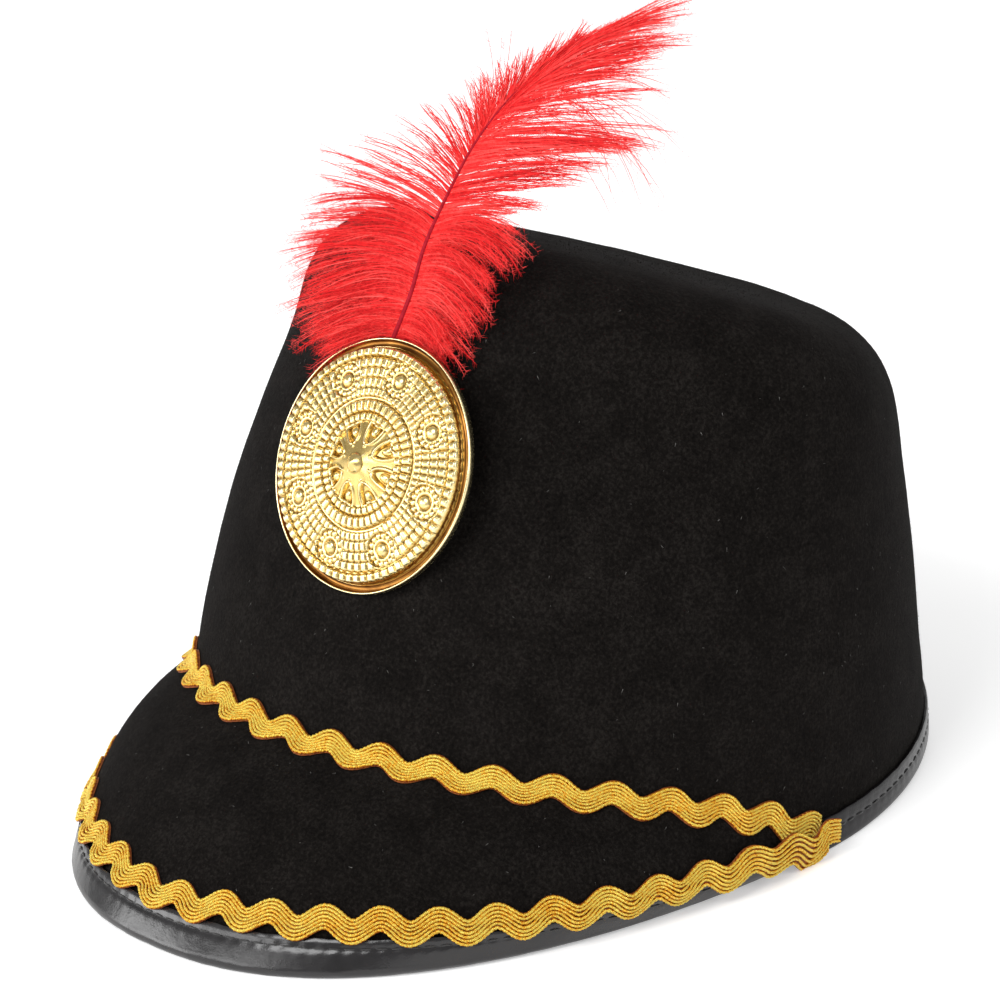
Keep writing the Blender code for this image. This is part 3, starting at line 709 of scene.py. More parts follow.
def pucker(along, up, stitch_up):
    """How far the leather is drawn in at and beside the stitch line."""
    near = (up - stitch_up) / 0.00075
    hole = 0.5 + 0.5 * cos(2 * pi * along / STITCH_PITCH)
    groove = exp(-near * near) * (0.00024 + 0.00006 * hole)
    wave = 0.00005 * sin(2 * pi * along / STITCH_PITCH + 0.9 * sin(along * 70))
    return groove - wave * exp(-((up - stitch_up) / 0.0022) ** 2)


def make_visor_binding(leather):
    angles = visor_angles(560)
    along = lengths_along([tuple(rim_centre(angle)) for angle in angles])
    sections = []
    for angle, run in zip(angles, along):
        seam, edge, normal, length = visor_column(angle)
        centre = rim_centre(angle)
        rim_out = visor_top(angle, 0)[1]
        down = (centre - seam) - rim_out * (centre - seam).dot(rim_out)
        down.normalize()

        def round_rim(degrees, radius):
            turn = radians(degrees)
            return centre + (down * cos(turn) + rim_out * sin(turn)) * radius

        def from_top(up, height):
            point, out = visor_top(angle, up)
            return point + out * height

        top = binding_reach(angle) + 0.00012 * sin(run * 900) * sin(run * 260)
        under = binding_underside(angle)
        room = min(1, length / 0.02)
        section = []
        for i in range(13):
            up = top * (1 - i / 12)
            sink = pucker(run, up, VISOR_STITCH_UP) * room + (0 if i else EDGE_TUCK)
            section.append(from_top(max(up, 0), OUTSIDE_BINDING - sink))
        for degrees in range(78, -91, -14):
            bag = 0.00010 * noise.noise(Vector((run * 260, degrees * 0.03, 1.7)))
            point = round_rim(degrees, RIM_ROUND + bag)
            section.append(Vector((point.x, point.y, max(point.z, 0))))
        section += [from_top(under * (i + 1) / 6, -FELT - OUTSIDE_BINDING) for i in range(6)]
        section.append(from_top(under, -FELT - GAP))
        section += [round_rim(degrees, FELT / 2 + GAP) for degrees in (-90, -45, 0, 45, 90)]
        section += [from_top(top * share, GAP) for share in (0.5, 1)]
        sections.append(section)
    add_tube("visor_binding_leather", array_of(sections), leather, "binding", "visor_binding")


def rear_angles(count):
    start = VISOR_END + CORNER_STEP
    return [start + 2 * (pi - start) * i / count for i in range(count + 1)]


def level_out(angle):
    across = wall_frame(angle, REAR_EDGE_HEIGHT)[1]
    return Vector((across.x, across.y, 0)).normalized()


def make_crown_binding(leather):
    angles = rear_angles(440)
    along = lengths_along([tuple(wall_at_height(angle, 0.005)) for angle in angles])
    outer = OUTSIDE_BINDING
    inner = -FELT - OUTSIDE_BINDING
    bend = REAR_EDGE_HEIGHT + BINDING_ROUND
    sections = []
    for angle, run in zip(angles, along):
        outline = []
        top = REAR_BINDING_HEIGHT - 0.00015 + 0.00012 * sin(run * 820) * sin(run * 210)
        for i in range(15):
            height = top - (top - bend) * i / 14
            sink = pucker(run, height, REAR_STITCH_UP) + (0 if i else EDGE_TUCK)
            outline.append((outer - sink, height))
        for degrees in range(15, 91, 15):
            turn = radians(degrees)
            outline.append((outer - BINDING_ROUND * (1 - cos(turn)), bend * (1 - sin(turn))))
        outline += [(inner + BINDING_ROUND, 0),
                    (inner + BINDING_ROUND * 0.3, REAR_EDGE_HEIGHT * 0.5),
                    (inner, 0.0019), (inner, REAR_BINDING_HEIGHT * 0.6),
                    (inner, REAR_BINDING_HEIGHT), (inner + LEATHER, REAR_BINDING_HEIGHT),
                    (inner + LEATHER, LEATHER),
                    (outer - LEATHER, LEATHER), (outer - LEATHER, top)]
        across = level_out(angle)
        sections.append([wall_at_height(angle, max(height, 0)) + across * offset
                         for offset, height in outline])
    add_tube("crown_binding_leather", array_of(sections), leather, "binding", "crown_binding")


def stitch_row(name, line, material):
    """Short rounded stitches laid end to end along a line of points and outward directions."""
    centres = np.array([tuple(point + out * STITCH_SINK) for point, out in line])
    outs = np.array([tuple(out) for point, out in line])
    along = lengths_along(centres)
    around, rings = 7, 6
    number = np.arange(int(along[-1] / STITCH_PITCH))[:, None]
    share = np.linspace(-1, 1, rings + 1)
    place = (number + 0.5) * STITCH_PITCH + STITCH_LENGTH / 2 * share
    point, out = read_table(place, along, centres), unit(read_table(place, along, outs))
    after = np.minimum(np.arange(rings + 1) + 1, rings)
    before = np.maximum(np.arange(rings + 1) - 1, 0)
    side = np.cross(unit(point[:, after] - point[:, before]), out)
    width = STITCH_ROUND * np.sqrt(np.maximum(0.05, 1 - share ** 4))[:, None, None]
    tilt = 0.0001 * np.sin(number * 2.4) * share
    middle = point + out * (0.00004 - 0.00016 * share ** 4)[:, None] + side * tilt[..., None]
    turn = 2 * pi * np.arange(around)[:, None] / around
    skin = side[:, :, None] * np.cos(turn) + out[:, :, None] * np.sin(turn)
    skin = middle[:, :, None] + skin * width
    hubs = (point - out * 0.00014)[:, [0, rings]]
    points = np.concatenate([skin.reshape(len(number), -1, 3), hubs], 1)
    size = points.shape[1]
    ring = np.arange(around)
    tris = [np.stack([end * around + ring, end * around + (ring + 1) % around,
                      np.full(around, hub)], -1) for end, hub in ((0, size - 2), (rings, size - 1))]
    shift = number[:, None] * size
    mesh = new_mesh(name, points, [(grid_faces(rings + 1, around, True) + shift).reshape(-1, 4),
                                   (np.concatenate(tris) + shift).reshape(-1, 3)])
    turn_out(mesh)
    mesh.shade_smooth()
    add_piece(name, mesh, material, "binding")


def make_stitches(thread):
    line = [visor_top(angle, VISOR_STITCH_UP) for angle in visor_angles(300)
            if visor_column(angle)[3] > 0.0125]
    stitch_row("visor_binding_stitches", line, thread)
    line = [(wall_at_height(angle, REAR_STITCH_UP), level_out(angle))
            for angle in rear_angles(260)[2:-2]]
    stitch_row("crown_binding_stitches", line, thread)


# Braids

CORDS = 7
CORD_STEP = 0.00034
CORD_SIDES = 6
FLOOR_GAP = 0.0002
BRAID_BRIDGE = (-0.0014, 0, 0.0014)
RIM_WAVE_LOSS = 0.5
RIM_BRAID_RISE = 0.0012
CORD_AXIS = 0.00058
CORD_HEIGHT = 0.00056
MIDDLE_CORD_RISE = 0.00012
BEAD_PITCH = 0.00122
EDGE_BEADS = 0.26
CORD_BEADS = 0.11
# place across the braid as a share of its width, and height
GROUND_OUTLINE = ((-0.5, 0.0001), (-0.46, 0.0005), (-0.2, 0.00055), (0.2, 0.00055),
                  (0.46, 0.0005), (0.5, 0.0001), (0.5, 0), (-0.5, 0))


def seam_line(angle):
    return visor_column(copysign(min(abs(angle), VISOR_END), angle))[3]


def seam_wave(angle):
    return BRAID_WAVE


def rim_wave(angle):
    """The rim braid's waves flatten where it runs out at the corners."""
    return BRAID_WAVE * (1 - RIM_WAVE_LOSS * ramp(abs(angle), radians(72), radians(86)))


def rim_line(angle):
    length = seam_line(angle)
    lowest = BRAID_WIDTH / 2 + rim_wave(angle) + BRAID_OFF_TABLE
    aside = abs(angle)
    rise = ramp(aside, radians(2), radians(12)) * (1 - ramp(aside, radians(30), radians(45)))
    return max(lowest, min(BRAID_UP_VISOR + RIM_BRAID_RISE * rise, length * 0.55))


def seam_braid_lift(angle, up):
    over = 1 - ramp(up - binding_reach(angle), BRAID_ON_EDGE, BRAID_CLIMB)
    return GAP + over * (LEATHER + GAP)


def rim_braid_lift(angle, up):
    corner = copysign(min(abs(angle), VISOR_END), angle)
    length = visor_column(corner)[3]
    room = BRAID_UP_VISOR + BRAID_WIDTH + 2 * BRAID_WAVE
    over = 1 - ramp(length, room, room * 1.5)
    lift = seam_braid_lift(corner, up)
    highest = LEATHER + BRAID_THICKNESS + 4 * GAP
    return lift + (highest - lift) * over


def braid_table(line, last):
    """Running lengths, angles and the skin's slants below and above a braid's middle line."""
    steps, span = 240, 5
    angles = [last * (2 * i / steps - 1) for i in range(steps + 1)]
    points = np.array([tuple(outer_skin(a, line(a))[0]) for a in angles])
    slants = []
    for side in (-1, 1):
        beside = [tuple(outer_skin(a, line(a) + side * BRAID_WAVE)[0]) for a in angles]
        raw = (directions(points) * unit(np.array(beside) - points)).sum(1) * side
        slants.append([raw[max(i - span, 0):i + span + 1].mean() for i in range(steps + 1)])
    return lengths_along(points), angles, *slants


def make_braid(name, line, wave_at, last, lift, period, lead, material, ground, node):
    """Wound cords side by side along a waved line, and the ground beneath them."""
    lengths, angles, below, above = braid_table(line, last)
    total = lengths[-1]
    count = int(total * 1.12 / CORD_STEP)

    def read(place, column):
        return float(np.interp(place, lengths, column))

    def strip(side, height):
        """Points and outward directions of a line that keeps its place in the braid."""
        places, outs = [], []
        for along in np.linspace(0, total, count + 1):
            phase = 2 * pi * (along + lead) / period
            wave = wave_at(read(along, angles))
            slope = -wave * 2 * pi / period * sin(phase)
            norm = sqrt(1 + slope * slope)
            off = wave * cos(phase) + side * (0.5 + 0.5 / norm)
            upper = max(0, min(1, 0.5 + off / BRAID_WIDTH))
            slant = read(along, below) * (1 - upper) + read(along, above) * upper
            square = sqrt(1 - slant * slant)
            place = max(0, min(total, along - 0.5 * side * slope / norm - off * slant / square))
            angle = read(place, angles)
            up = line(angle) + off / square
            near = [outer_skin(angle, up + step) for step in BRAID_BRIDGE]
            point = sum((at for at, out in near), Vector()) / len(near)
            out = sum((out for at, out in near), Vector()).normalized()
            places.append(tuple(point + out * (lift(angle, up) + height)))
            outs.append(tuple(out))
        return np.array(places), np.array(outs)

    def off_floor(rows):
        grid = np.array(rows)
        grid[..., 2] = np.maximum(grid[..., 2], FLOOR_GAP)
        return grid

    spacing, edge = BRAID_WIDTH / CORDS, (CORDS - 1) / 2
    points, faces, uvs = [], [], []
    for cord in range(CORDS):
        # the middle cords lie a little prouder than the outer ones
        proud = MIDDLE_CORD_RISE * (1 - abs(cord - edge) / (CORDS / 2))
        centre, out = strip(spacing * (cord - edge), CORD_AXIS + proud)
        run = lengths_along(centre)
        across = np.cross(directions(centre), out)
        wander = np.array([noise.noise(Vector((r * 190, cord * 3.3, 0.5))) for r in run])
        beads = EDGE_BEADS if cord in (0, CORDS - 1) else CORD_BEADS
        rows = []
        for j in range(CORD_SIDES + 1):
            turn = radians(-14 + 208 * j / CORD_SIDES)
            knurl = 1 + beads * np.cos(2 * pi * run / BEAD_PITCH + 2 * turn + cord)
            wide = spacing * 0.50 * knurl * (1 + 0.06 * wander)
            rows.append(centre + across * (cos(turn) * wide)[:, None]
                        + out * (sin(turn) * CORD_HEIGHT * knurl)[:, None])
            uvs.append(np.stack([run * 1000, np.full(len(run), turn / (2 * pi))], -1))
        first = cord * (CORD_SIDES + 1) * (count + 1)
        faces.append(grid_faces(CORD_SIDES + 1, count + 1, first=first))
        points.append(off_floor(rows).reshape(-1, 3))
    mesh = new_mesh(name, np.concatenate(points), [np.concatenate(faces)], np.concatenate(uvs))
    mesh.flip_normals()
    add_piece(name, mesh, material, "braid", node)
    # the ground that shows between the cords, coloured dark red-brown as painted shade in the
    # grooves
    rows = [strip(BRAID_WIDTH * share, height)[0] for share, height in GROUND_OUTLINE]
    grid = np.transpose(off_floor(rows), (1, 0, 2))
    add_tube(name + "_ground", grid, ground, "braid")


# Medallion

def medal_seat():
    """Centre, side, up and out of the medallion, tilted and turned on the crown's front."""
    angle = MEDAL_LEFT / BASE_HALF_WIDTH

    def wall(turn, rise):
        return wall_at_height(angle + turn, MEDAL_CENTRE_HEIGHT + rise)

    for i in range(4):
        angle += (MEDAL_LEFT - wall(0, 0).x) / BASE_HALF_WIDTH
    reach = MEDAL_RADIUS * 0.6
    up = (wall(0, reach) - wall(0, -reach)).normalized()
    side = (wall(0.05, 0) - wall(-0.05, 0)).normalized()
    up = (up - side * up.dot(side)).normalized()
    out = side.cross(up)
    side, out = (side * cos(MEDAL_TURN) + out * sin(MEDAL_TURN),
                 out * cos(MEDAL_TURN) - side * sin(MEDAL_TURN))
    up, out = (up * cos(MEDAL_UPRIGHT) + out * sin(MEDAL_UPRIGHT),
               out * cos(MEDAL_UPRIGHT) - up * sin(MEDAL_UPRIGHT))
    centre = wall(0, 0)
    proud = 0
    for i in range(-12, 13):
        for j in range(-12, 13):
            away = wall(0.04 * i, 0.0025 * j) - centre
            if hypot(away.dot(side), away.dot(up)) < MEDAL_RADIUS:
                proud = max(proud, away.dot(out))
    return centre + out * (proud + GAP), side, up, out


SEAT = medal_seat()
MEDAL_FACE = MEDAL_LIP + 0.0010
MEDAL_SWELL = MEDAL_DOME - 0.0026
MEDAL_TIP = 0.00425
MEDAL_STAR_TURN = radians(13.2)
BOSS_RING = 23.2


def cells(place):
    """The offset from the nearest whole number."""
    return place - np.round(place)


def bead_band(radius, turn, low, high, around, square):
    """Height of a ring of raised beads between two radii, all in millimetres."""
    middle, half = (low + high) / 2, (high - low) / 2
    across = np.abs(cells(turn / (2 * pi) * around) * 2)
    down = np.abs((radius - middle) / half)
    shape = np.clip(1 - across ** square - down ** (square * 2), 0, 1)
    return shape ** 0.6 * min(pi * middle / around, half)


def round_top(distance):
    """A round bump's height, from 1 at its middle to 0 where the distance reaches 1."""
    return np.sqrt(np.clip(1 - distance ** 2, 0, 1))


def medal_relief(radius, turn):
    """Height of the stamped pattern over the smooth dome, in metres."""
    r = radius * 1000
    turn = turn - MEDAL_STAR_TURN
    uneven = 0.18 * np.sin(3 * turn + 1) + 0.12 * np.sin(7 * turn)
    sector = pi / 4
    off = cells(turn / sector) * sector
    x, y = r * np.sin(off), r * np.cos(off)
    # the smooth star rises as a broad cone to a small round boss
    height = 3.4 * np.clip(1 - r / 10.6, 0, 1) ** 1.1 + 0.85 * round_top(r / 2.5)
    # eight arched eyes between its points, each a hollow with a bead in it
    half = 2.7 * round_top((10.9 - y) / 5.6) * (y < 10.9)
    inside = np.minimum(half - np.abs(x), (10.9 - y) * 1.2)
    height += 0.42 * np.exp(-((inside - 0.15) / 0.44) ** 2) * (y > 4.4) * (y < 11.2)
    height -= 0.95 * np.clip((inside - 0.50) / 0.5, 0, 1) * (y > 4.6)
    height += 1.15 * round_top(np.hypot(x / 1.25, (y - 9.2) / 1.75))
    # rings round the star: squarish beads, then long beads in a thin raised line
    height += 0.95 * bead_band(r, turn, 11.1, 13.2, 40, 3.2)
    height += 1.05 * bead_band(r + uneven * 0.3, turn, 13.5, 16.6, 46, 3.6)
    height += 0.30 * np.clip(1 - np.abs(r - 17.15 - 0.5 * uneven) / 0.36, 0, 1)
    # bosses, each in a smooth ring and a ring of small beads
    y = y - BOSS_RING
    away = np.hypot(x, y)
    height += 0.95 * round_top(away / 1.7)
    height += 0.34 * np.exp(-((away - 2.5) / 0.36) ** 2)
    bead = cells(np.arctan2(x, y) / (2 * pi) * 14)
    ring = np.clip(1 - np.abs(bead * 2) ** 2.4 - np.abs((away - 3.6) / 0.80) ** 2.4, 0, 1)
    height += 0.55 * ring ** 0.6
    # rows of beads fill the band between the bosses
    free = np.clip((away - 4.4) / 0.3, 0, 1)
    for low, high in ((17.5, 19.7), (19.7, 22.4), (22.4, 25.0), (25.0, 27.5)):
        height += free * bead_band(r + uneven * 0.4, turn, low, high, 72, 3.8)
    # a thin raised line, then squarish beads at the edge
    height += 0.25 * np.clip(1 - np.abs(r - 27.7 - 0.3 * uneven) / 0.28, 0, 1)
    height += 1.05 * bead_band(r, turn + 0.01, 28.0, 30.4, 76, 3.8)
    return height / 1000


def make_medallion(gold, dark_groove):
    """The stamped face, its rim and a flat back as one closed skin."""
    centre, side, up, out = (np.array(tuple(v)) for v in SEAT)
    face = MEDAL_RADIUS - MEDAL_LIP_WALL - MEDAL_GROOVE
    columns, rows = 560, 140
    turns = np.arange(columns) * 2 * pi / columns
    radii = face * np.linspace(1, 0, rows + 1)[:-1]
    radius, turn = np.meshgrid(radii, turns, indexing="ij")
    edge = np.clip((face - radius) / 0.0006, 0, 1)
    base = MEDAL_FACE + MEDAL_SWELL * (1 - (radius / face) ** 2) - (1 - edge) ** 2 * 0.0023
    height = base + medal_relief(radius, turn) * edge
    # the rim's own profile in millimetres, from the back round the lip into the groove
    rim, lip, foot = MEDAL_RADIUS * 1000, MEDAL_LIP * 1000, face * 1000
    outline = np.array((
        (rim - 1, 0), (rim - 0.25, 0), (rim, 0.25), (rim, 1.6), (rim - 0.05, lip - 0.1),
        (rim - 0.22, lip), (rim - 0.42, lip - 0.1), (rim - 0.5, 1.5), (rim - 0.7, 0.95),
        (rim - 1.1, 0.80), (foot + 0.8, 0.80), (foot + 0.35, 0.90), (foot + 0.15, 1.10),
        (foot + 0.05, 1.5))) / 1000
    wobble = 1 + 0.0035 * np.sin(2 * turns + 0.7) + 0.002 * np.sin(5 * turns)
    around = np.repeat(outline[:, :1], columns, 1)
    around[:8] *= wobble
    around = np.concatenate([around, radius])
    heights = np.concatenate([np.repeat(outline[:, 1:], columns, 1), height])
    grid = (centre + side * (around * np.sin(turns))[..., None]
            + up * (around * np.cos(turns))[..., None] + out * heights[..., None])
    tip = centre + out * (MEDAL_FACE + MEDAL_SWELL + MEDAL_TIP)
    count = len(grid)
    points = np.concatenate([grid.reshape(-1, 3), [tip, centre]])
    ring = np.arange(columns)
    after = (ring + 1) % columns
    last = (count - 1) * columns
    hub = np.full(columns, count * columns)
    caps = np.stack([last + ring, last + after, hub], -1)
    back = np.stack([after, ring, hub + 1], -1)
    mesh = new_mesh("medallion_relief", points, [grid_faces(count, columns, True), caps, back])
    turn_out(mesh)
    add_piece("medallion_relief", mesh, gold, "medallion", "medallion")
    # the groove inside the lip is coloured dark brown
    mesh.materials.append(dark_groove)
    for piece in mesh.polygons[6 * columns:(len(outline) - 1) * columns]:
        piece.material_index = 1


# Plume

# across, up, both as shares of the plume's reach
SHAFT = (
    (0.000, 0.000),
    (0.027, 0.102),
    (0.048, 0.223),
    (0.107, 0.386),
    (0.155, 0.478),
    (0.218, 0.561),
    (0.287, 0.624),
)
# place along the shaft, left end across and up, right end across and up
LOCK_ENDS = (
    (0.000, -0.165, -0.055, 0.126, -0.025),
    (0.080, -0.253, -0.030, 0.211, 0.018),
    (0.200, -0.289, 0.100, 0.286, 0.112),
    (0.320, -0.284, 0.241, 0.317, 0.223),
    (0.420, -0.262, 0.362, 0.370, 0.346),
    (0.520, -0.104, 0.448, 0.500, 0.436),
    (0.620, 0.034, 0.534, 0.600, 0.486),
    (0.700, 0.104, 0.581, 0.640, 0.522),
    (0.750, 0.150, 0.609, 0.622, 0.585),
    (0.870, 0.298, 0.684, 0.645, 0.693),
    (1.000, 0.487, 0.767, 0.666, 0.749),
)
PLUME_TIP = (0.667, 0.814)
# end across and up, and curl
STRAY_BARBS = (
    (0.140, 0.600, 0.10), (0.144, 0.605, 0.12), (0.186, 0.610, -0.12), (0.190, 0.612, -0.10),
    (0.19, 0.69, 0.10), (0.62, 0.56, -0.35), (0.60, 0.60, -0.45), (0.56, 0.52, -0.40),
    (0.66, 0.66, -0.2), (0.47, 0.50, 0.25), (0.64, 0.62, -0.30), (0.55, 0.60, -0.50),
)
SHAFT_ROUND = 0.0007
# by side and whether low on the shaft: least and most curl, and sweep
LOCK_STYLES = {(1, True): (-0.10, 0.02, 0.24), (1, False): (-0.03, 0.05, 0.15),
               (-1, True): (-0.03, 0.12, 0.22), (-1, False): (-0.06, 0.06, 0.17)}
LOCK_DENSITY = 1150
BARB_STEPS = 10
BARB_WIDTH = 0.00017


def read_curve(points, share):
    place = share * (len(points) - 1)
    i = min(int(place), len(points) - 2)
    t = place - i
    before = Vector(points[max(i - 1, 0)])
    start = Vector(points[i])
    end = Vector(points[i + 1])
    after = Vector(points[min(i + 2, len(points) - 1)])
    leave = (end - before) / 2
    arrive = (after - start) / 2
    return (start * (2 * t ** 3 - 3 * t ** 2 + 1) + leave * (t ** 3 - 2 * t ** 2 + t)
            + end * (3 * t ** 2 - 2 * t ** 3) + arrive * (t ** 3 - t ** 2))


SHAFT_TRACE = np.array([tuple(read_curve(SHAFT, i / 160)) for i in range(161)])
SHAFT_RUN = lengths_along(SHAFT_TRACE)
SHAFT_MIDDLE = read_curve(SHAFT, 0.5).x


def shaft_at(share):
    return read_table(share * SHAFT_RUN[-1], SHAFT_RUN, SHAFT_TRACE)


def shaft_ahead(share):
    run = shaft_at(min(1, share + 0.02)) - shaft_at(max(0, share - 0.02))
    return run / np.linalg.norm(run)


def lock_end(share, side):
    ends = np.array(LOCK_ENDS)
    return read_table(share, ends[:, 0], ends[:, 1:3] if side < 0 else ends[:, 3:])


def plume_frame():
    centre, side, up, out = SEAT
    root = centre + up * MEDAL_RADIUS - out * (3 * GAP + QUILL / 2) - side * QUILL_RIGHT
    across = Vector((cos(PLUME_TURN), sin(PLUME_TURN), 0))
    slope = Vector((0, sin(PLUME_LEAN), cos(PLUME_LEAN)))
    rise = (slope - across * slope.dot(across)).normalized()
    return [np.array(tuple(v)) for v in (root, across, rise, across.cross(rise), up)]


PLUME = plume_frame()


def plume_points(flat, forward):
    """Puts points of the plume's own plane, in shares, into the hat's space."""
    root, across, rise, facing, up = PLUME
    cup = PLUME_CUP * np.minimum(1, ((flat[:, 0] - SHAFT_MIDDLE) / 0.3) ** 2)
    return (root + (flat[:, :1] * across + flat[:, 1:] * rise) * PLUME_REACH
            + (cup + forward)[:, None] * facing)


class Barbs:
    """Gathers flat tapering barbs with fine barbules, and makes one mesh of them."""

    def __init__(self, seed):
        self.random = random.Random(seed)
        self.quads, self.tris = [], []
        self.quad_tone, self.tri_tone = [], []

    def add(self, share, end, curl, lift, fluff, width=BARB_WIDTH, sweep=0.30):
        rnd = self.random
        tone = rnd.random()
        t = np.linspace(0, 1, BARB_STEPS)
        start = shaft_at(share)
        run = end - start
        reach = np.linalg.norm(run)
        bend = start + shaft_ahead(share) * reach * sweep + run * (0.65 - sweep)
        flat = (np.outer((1 - t) ** 2, start) + np.outer(2 * t * (1 - t), bend)
                + np.outer(t ** 2, end))
        wave = 0.006 * np.sin(t * rnd.uniform(3, 8) + rnd.uniform(0, 6)) * t
        wave = curl * reach * t ** 2.6 + wave
        flat = flat + np.array((-run[1], run[0])) / reach * wave[:, None]
        wave = 0.0007 * np.sin(t * rnd.uniform(2, 6) + rnd.uniform(0, 6)) * t
        line = plume_points(flat, 0.0002 + lift * t ** 1.4 + wave)
        ahead = directions(line)
        facing = PLUME[3]
        roll = rnd.uniform(-1.0, 1.0)
        flat_side = np.cross(ahead, facing)
        side = flat_side * cos(roll) + facing * sin(roll)
        wide = width * (1 - 0.55 * t) * rnd.uniform(0.75, 1.2)
        wide[-1] = width * 0.08
        side = side * wide[:, None]
        self.quads.append(np.stack([line - side, line + side], 1))
        self.quad_tone.append(np.repeat(tone, len(t) * 2))
        # fluff is the number of barbules to each millimetre
        count = int(fluff * reach * PLUME_REACH / 0.001)
        if not count:
            return

        def draw(low, high):
            return np.array([rnd.uniform(low, high) for i in range(count)])[:, None]

        place = draw(0.06, 1) * (len(t) - 1)
        low = np.minimum(place.astype(int), len(t) - 2)[:, 0]
        part = place - low[:, None]
        base = line[low] * (1 - part) + line[low + 1] * part
        along = ahead[low]
        hand = np.where(np.arange(count) % 2, 1.0, -1.0)[:, None]
        spread = draw(0.45, 1.05)
        out = draw(-0.45, 0.55)
        away = (along * np.cos(spread) + flat_side[low] * np.sin(spread) * hand
                + facing * out * 0.6)
        tip = base + away * draw(0.0009, 0.0023)
        half = along * 0.000050
        self.tris.append(np.stack([base - half, base + half, tip], 1))
        self.tri_tone.append(np.repeat(tone, count * 3))

    def finish(self, name, material):
        quads, tris = np.array(self.quads), np.concatenate(self.tris)
        count, steps = quads.shape[:2]
        step = np.arange(steps - 1)
        one = np.stack([step * 2, step * 2 + 1, step * 2 + 3, step * 2 + 2], -1)
        faces = [(one[None] + np.arange(count)[:, None, None] * steps * 2).reshape(-1, 4),
                 np.arange(len(tris) * 3).reshape(-1, 3) + count * steps * 2]
        points = np.concatenate([quads.reshape(-1, 3), tris.reshape(-1, 3)])
        tones = np.concatenate(self.quad_tone + self.tri_tone)
        add_piece(name, new_mesh(name, points, faces, np.stack([tones, tones], -1)),
                  material, "plume")


def gust(rnd, spread):
    return np.array((rnd.gauss(0, spread), rnd.gauss(0, spread)))


def make_lock(barbs, side, share, tip, count, spread, curl, lift, fluff, gather, sweep, loose):
    """Barbs from one stretch of the shaft that lean together towards a tip."""
    rnd = barbs.random
    home = lock_end(min(max(share, 0), 1), side)
    for i in range(count):
        place = min(1, max(0, share + rnd.uniform(-spread, spread)))
        end = tip + (lock_end(place, side) - home) * gather
        start = shaft_at(place)
        end = start + (end - start) * rnd.uniform(0.50, 1.0) ** 0.55 + gust(rnd, 0.006 * loose)
        barbs.add(place, end, curl + rnd.gauss(0, 0.035 * loose), lift + rnd.gauss(0, 0.0008),
                  fluff, sweep=sweep + rnd.gauss(0, 0.02 * loose))


def make_side(name, side, material, seed):
    """The barbs of one half: short down low on the shaft, longer airy locks above it."""
    barbs = Barbs(seed)
    rnd = barbs.random
    share = 0.004
    while share < 0.985:
        downy = 1 - ramp(share, 0.26, 0.50)
        wispy = ramp(share, 0.26, 0.40) * (1 - ramp(share, 0.55, 0.70)) if side < 0 else 0
        airy = ramp(share, 0.30, 0.44)
        start = shaft_at(share)
        tip = start + (lock_end(share, side) - start) * rnd.uniform(0.82, 1.12)
        if side > 0:
            tip = tip + np.array((0, rnd.uniform(-0.02, 0.02)))
        least_curl, most_curl, sweep = LOCK_STYLES[side, downy > 0.5]
        curl = rnd.uniform(least_curl, most_curl)
        lift = rnd.uniform(0.0004, 0.0046) * (0.45 + 0.55 * downy)
        wide = rnd.uniform(0.007, 0.015) + 0.004 * downy
        count = int(wide * (LOCK_DENSITY + 420 * downy - 420 * wispy))
        gather = rnd.uniform(0.12, 0.40)
        if airy > 0.5:
            wide *= rnd.uniform(1.1, 1.9)
            gather *= 0.7
            sweep -= 0.08 if side < 0 else 0.05
        elif downy > 0.5:
            wide = rnd.uniform(0.015, 0.027)
            gather *= 0.7
            count = int(wide * LOCK_DENSITY)
        if side > 0 and 0.70 < share < 0.84:
            count = int(count * 0.5)
        make_lock(barbs, side, share + wide / 2, tip, count, wide * 0.75, curl, lift,
                  0.55 + 1.55 * downy, gather, sweep, 1 - 0.6 * airy - 0.25 * downy)
        share += wide * (1.0 + 0.35 * wispy)
    # a short dense under-layer beside the shaft
    for i in range(210):
        share = rnd.uniform(0, 0.97)
        start = shaft_at(share)
        end = start + (lock_end(share, side) - start) * rnd.uniform(0.22, 0.60)
        barbs.add(share, end, rnd.gauss(0, 0.04), rnd.uniform(-0.0002, 0.0010), 1.2, sweep=0.2)
    # down that hangs over the medallion's edge
    for i in range(70):
        share = rnd.uniform(0, 0.05)
        turn = rnd.uniform(-0.55, 0.25)
        end = shaft_at(share) + np.array((side * cos(turn), sin(turn))) * rnd.uniform(0.10, 0.24)
        barbs.add(share, end, -side * rnd.uniform(0, 0.15), rnd.uniform(0, 0.003), 2.2)
    barbs.finish(name, material)


def make_plume_tip(material):
    barbs = Barbs(31)
    rnd = barbs.random
    tip = np.array(PLUME_TIP)
    for i in range(190):
        share = rnd.uniform(0.72, 1)
        side = rnd.choice((-1, 1))
        end = tip + (lock_end(share, side) - tip) * rnd.uniform(0, 0.75) ** 1.5
        start = shaft_at(share)
        end = start + (end - start) * rnd.uniform(0.7, 1.01) + gust(rnd, 0.006)
        barbs.add(share, end, rnd.gauss(0.01, 0.03), rnd.uniform(0, 0.002), 0.9, sweep=0.38)
    for across, up, curl in STRAY_BARBS:
        for i in range(4):
            share = 0.62 + (0.3 if across > 0.3 else 0.12) * rnd.random()
            end = np.array((across, up)) + gust(rnd, 0.012)
            barbs.add(share, end, curl + rnd.gauss(0, 0.05), 0.002, 0.6, 0.00013)
    barbs.finish("plume_barbs_top", material)


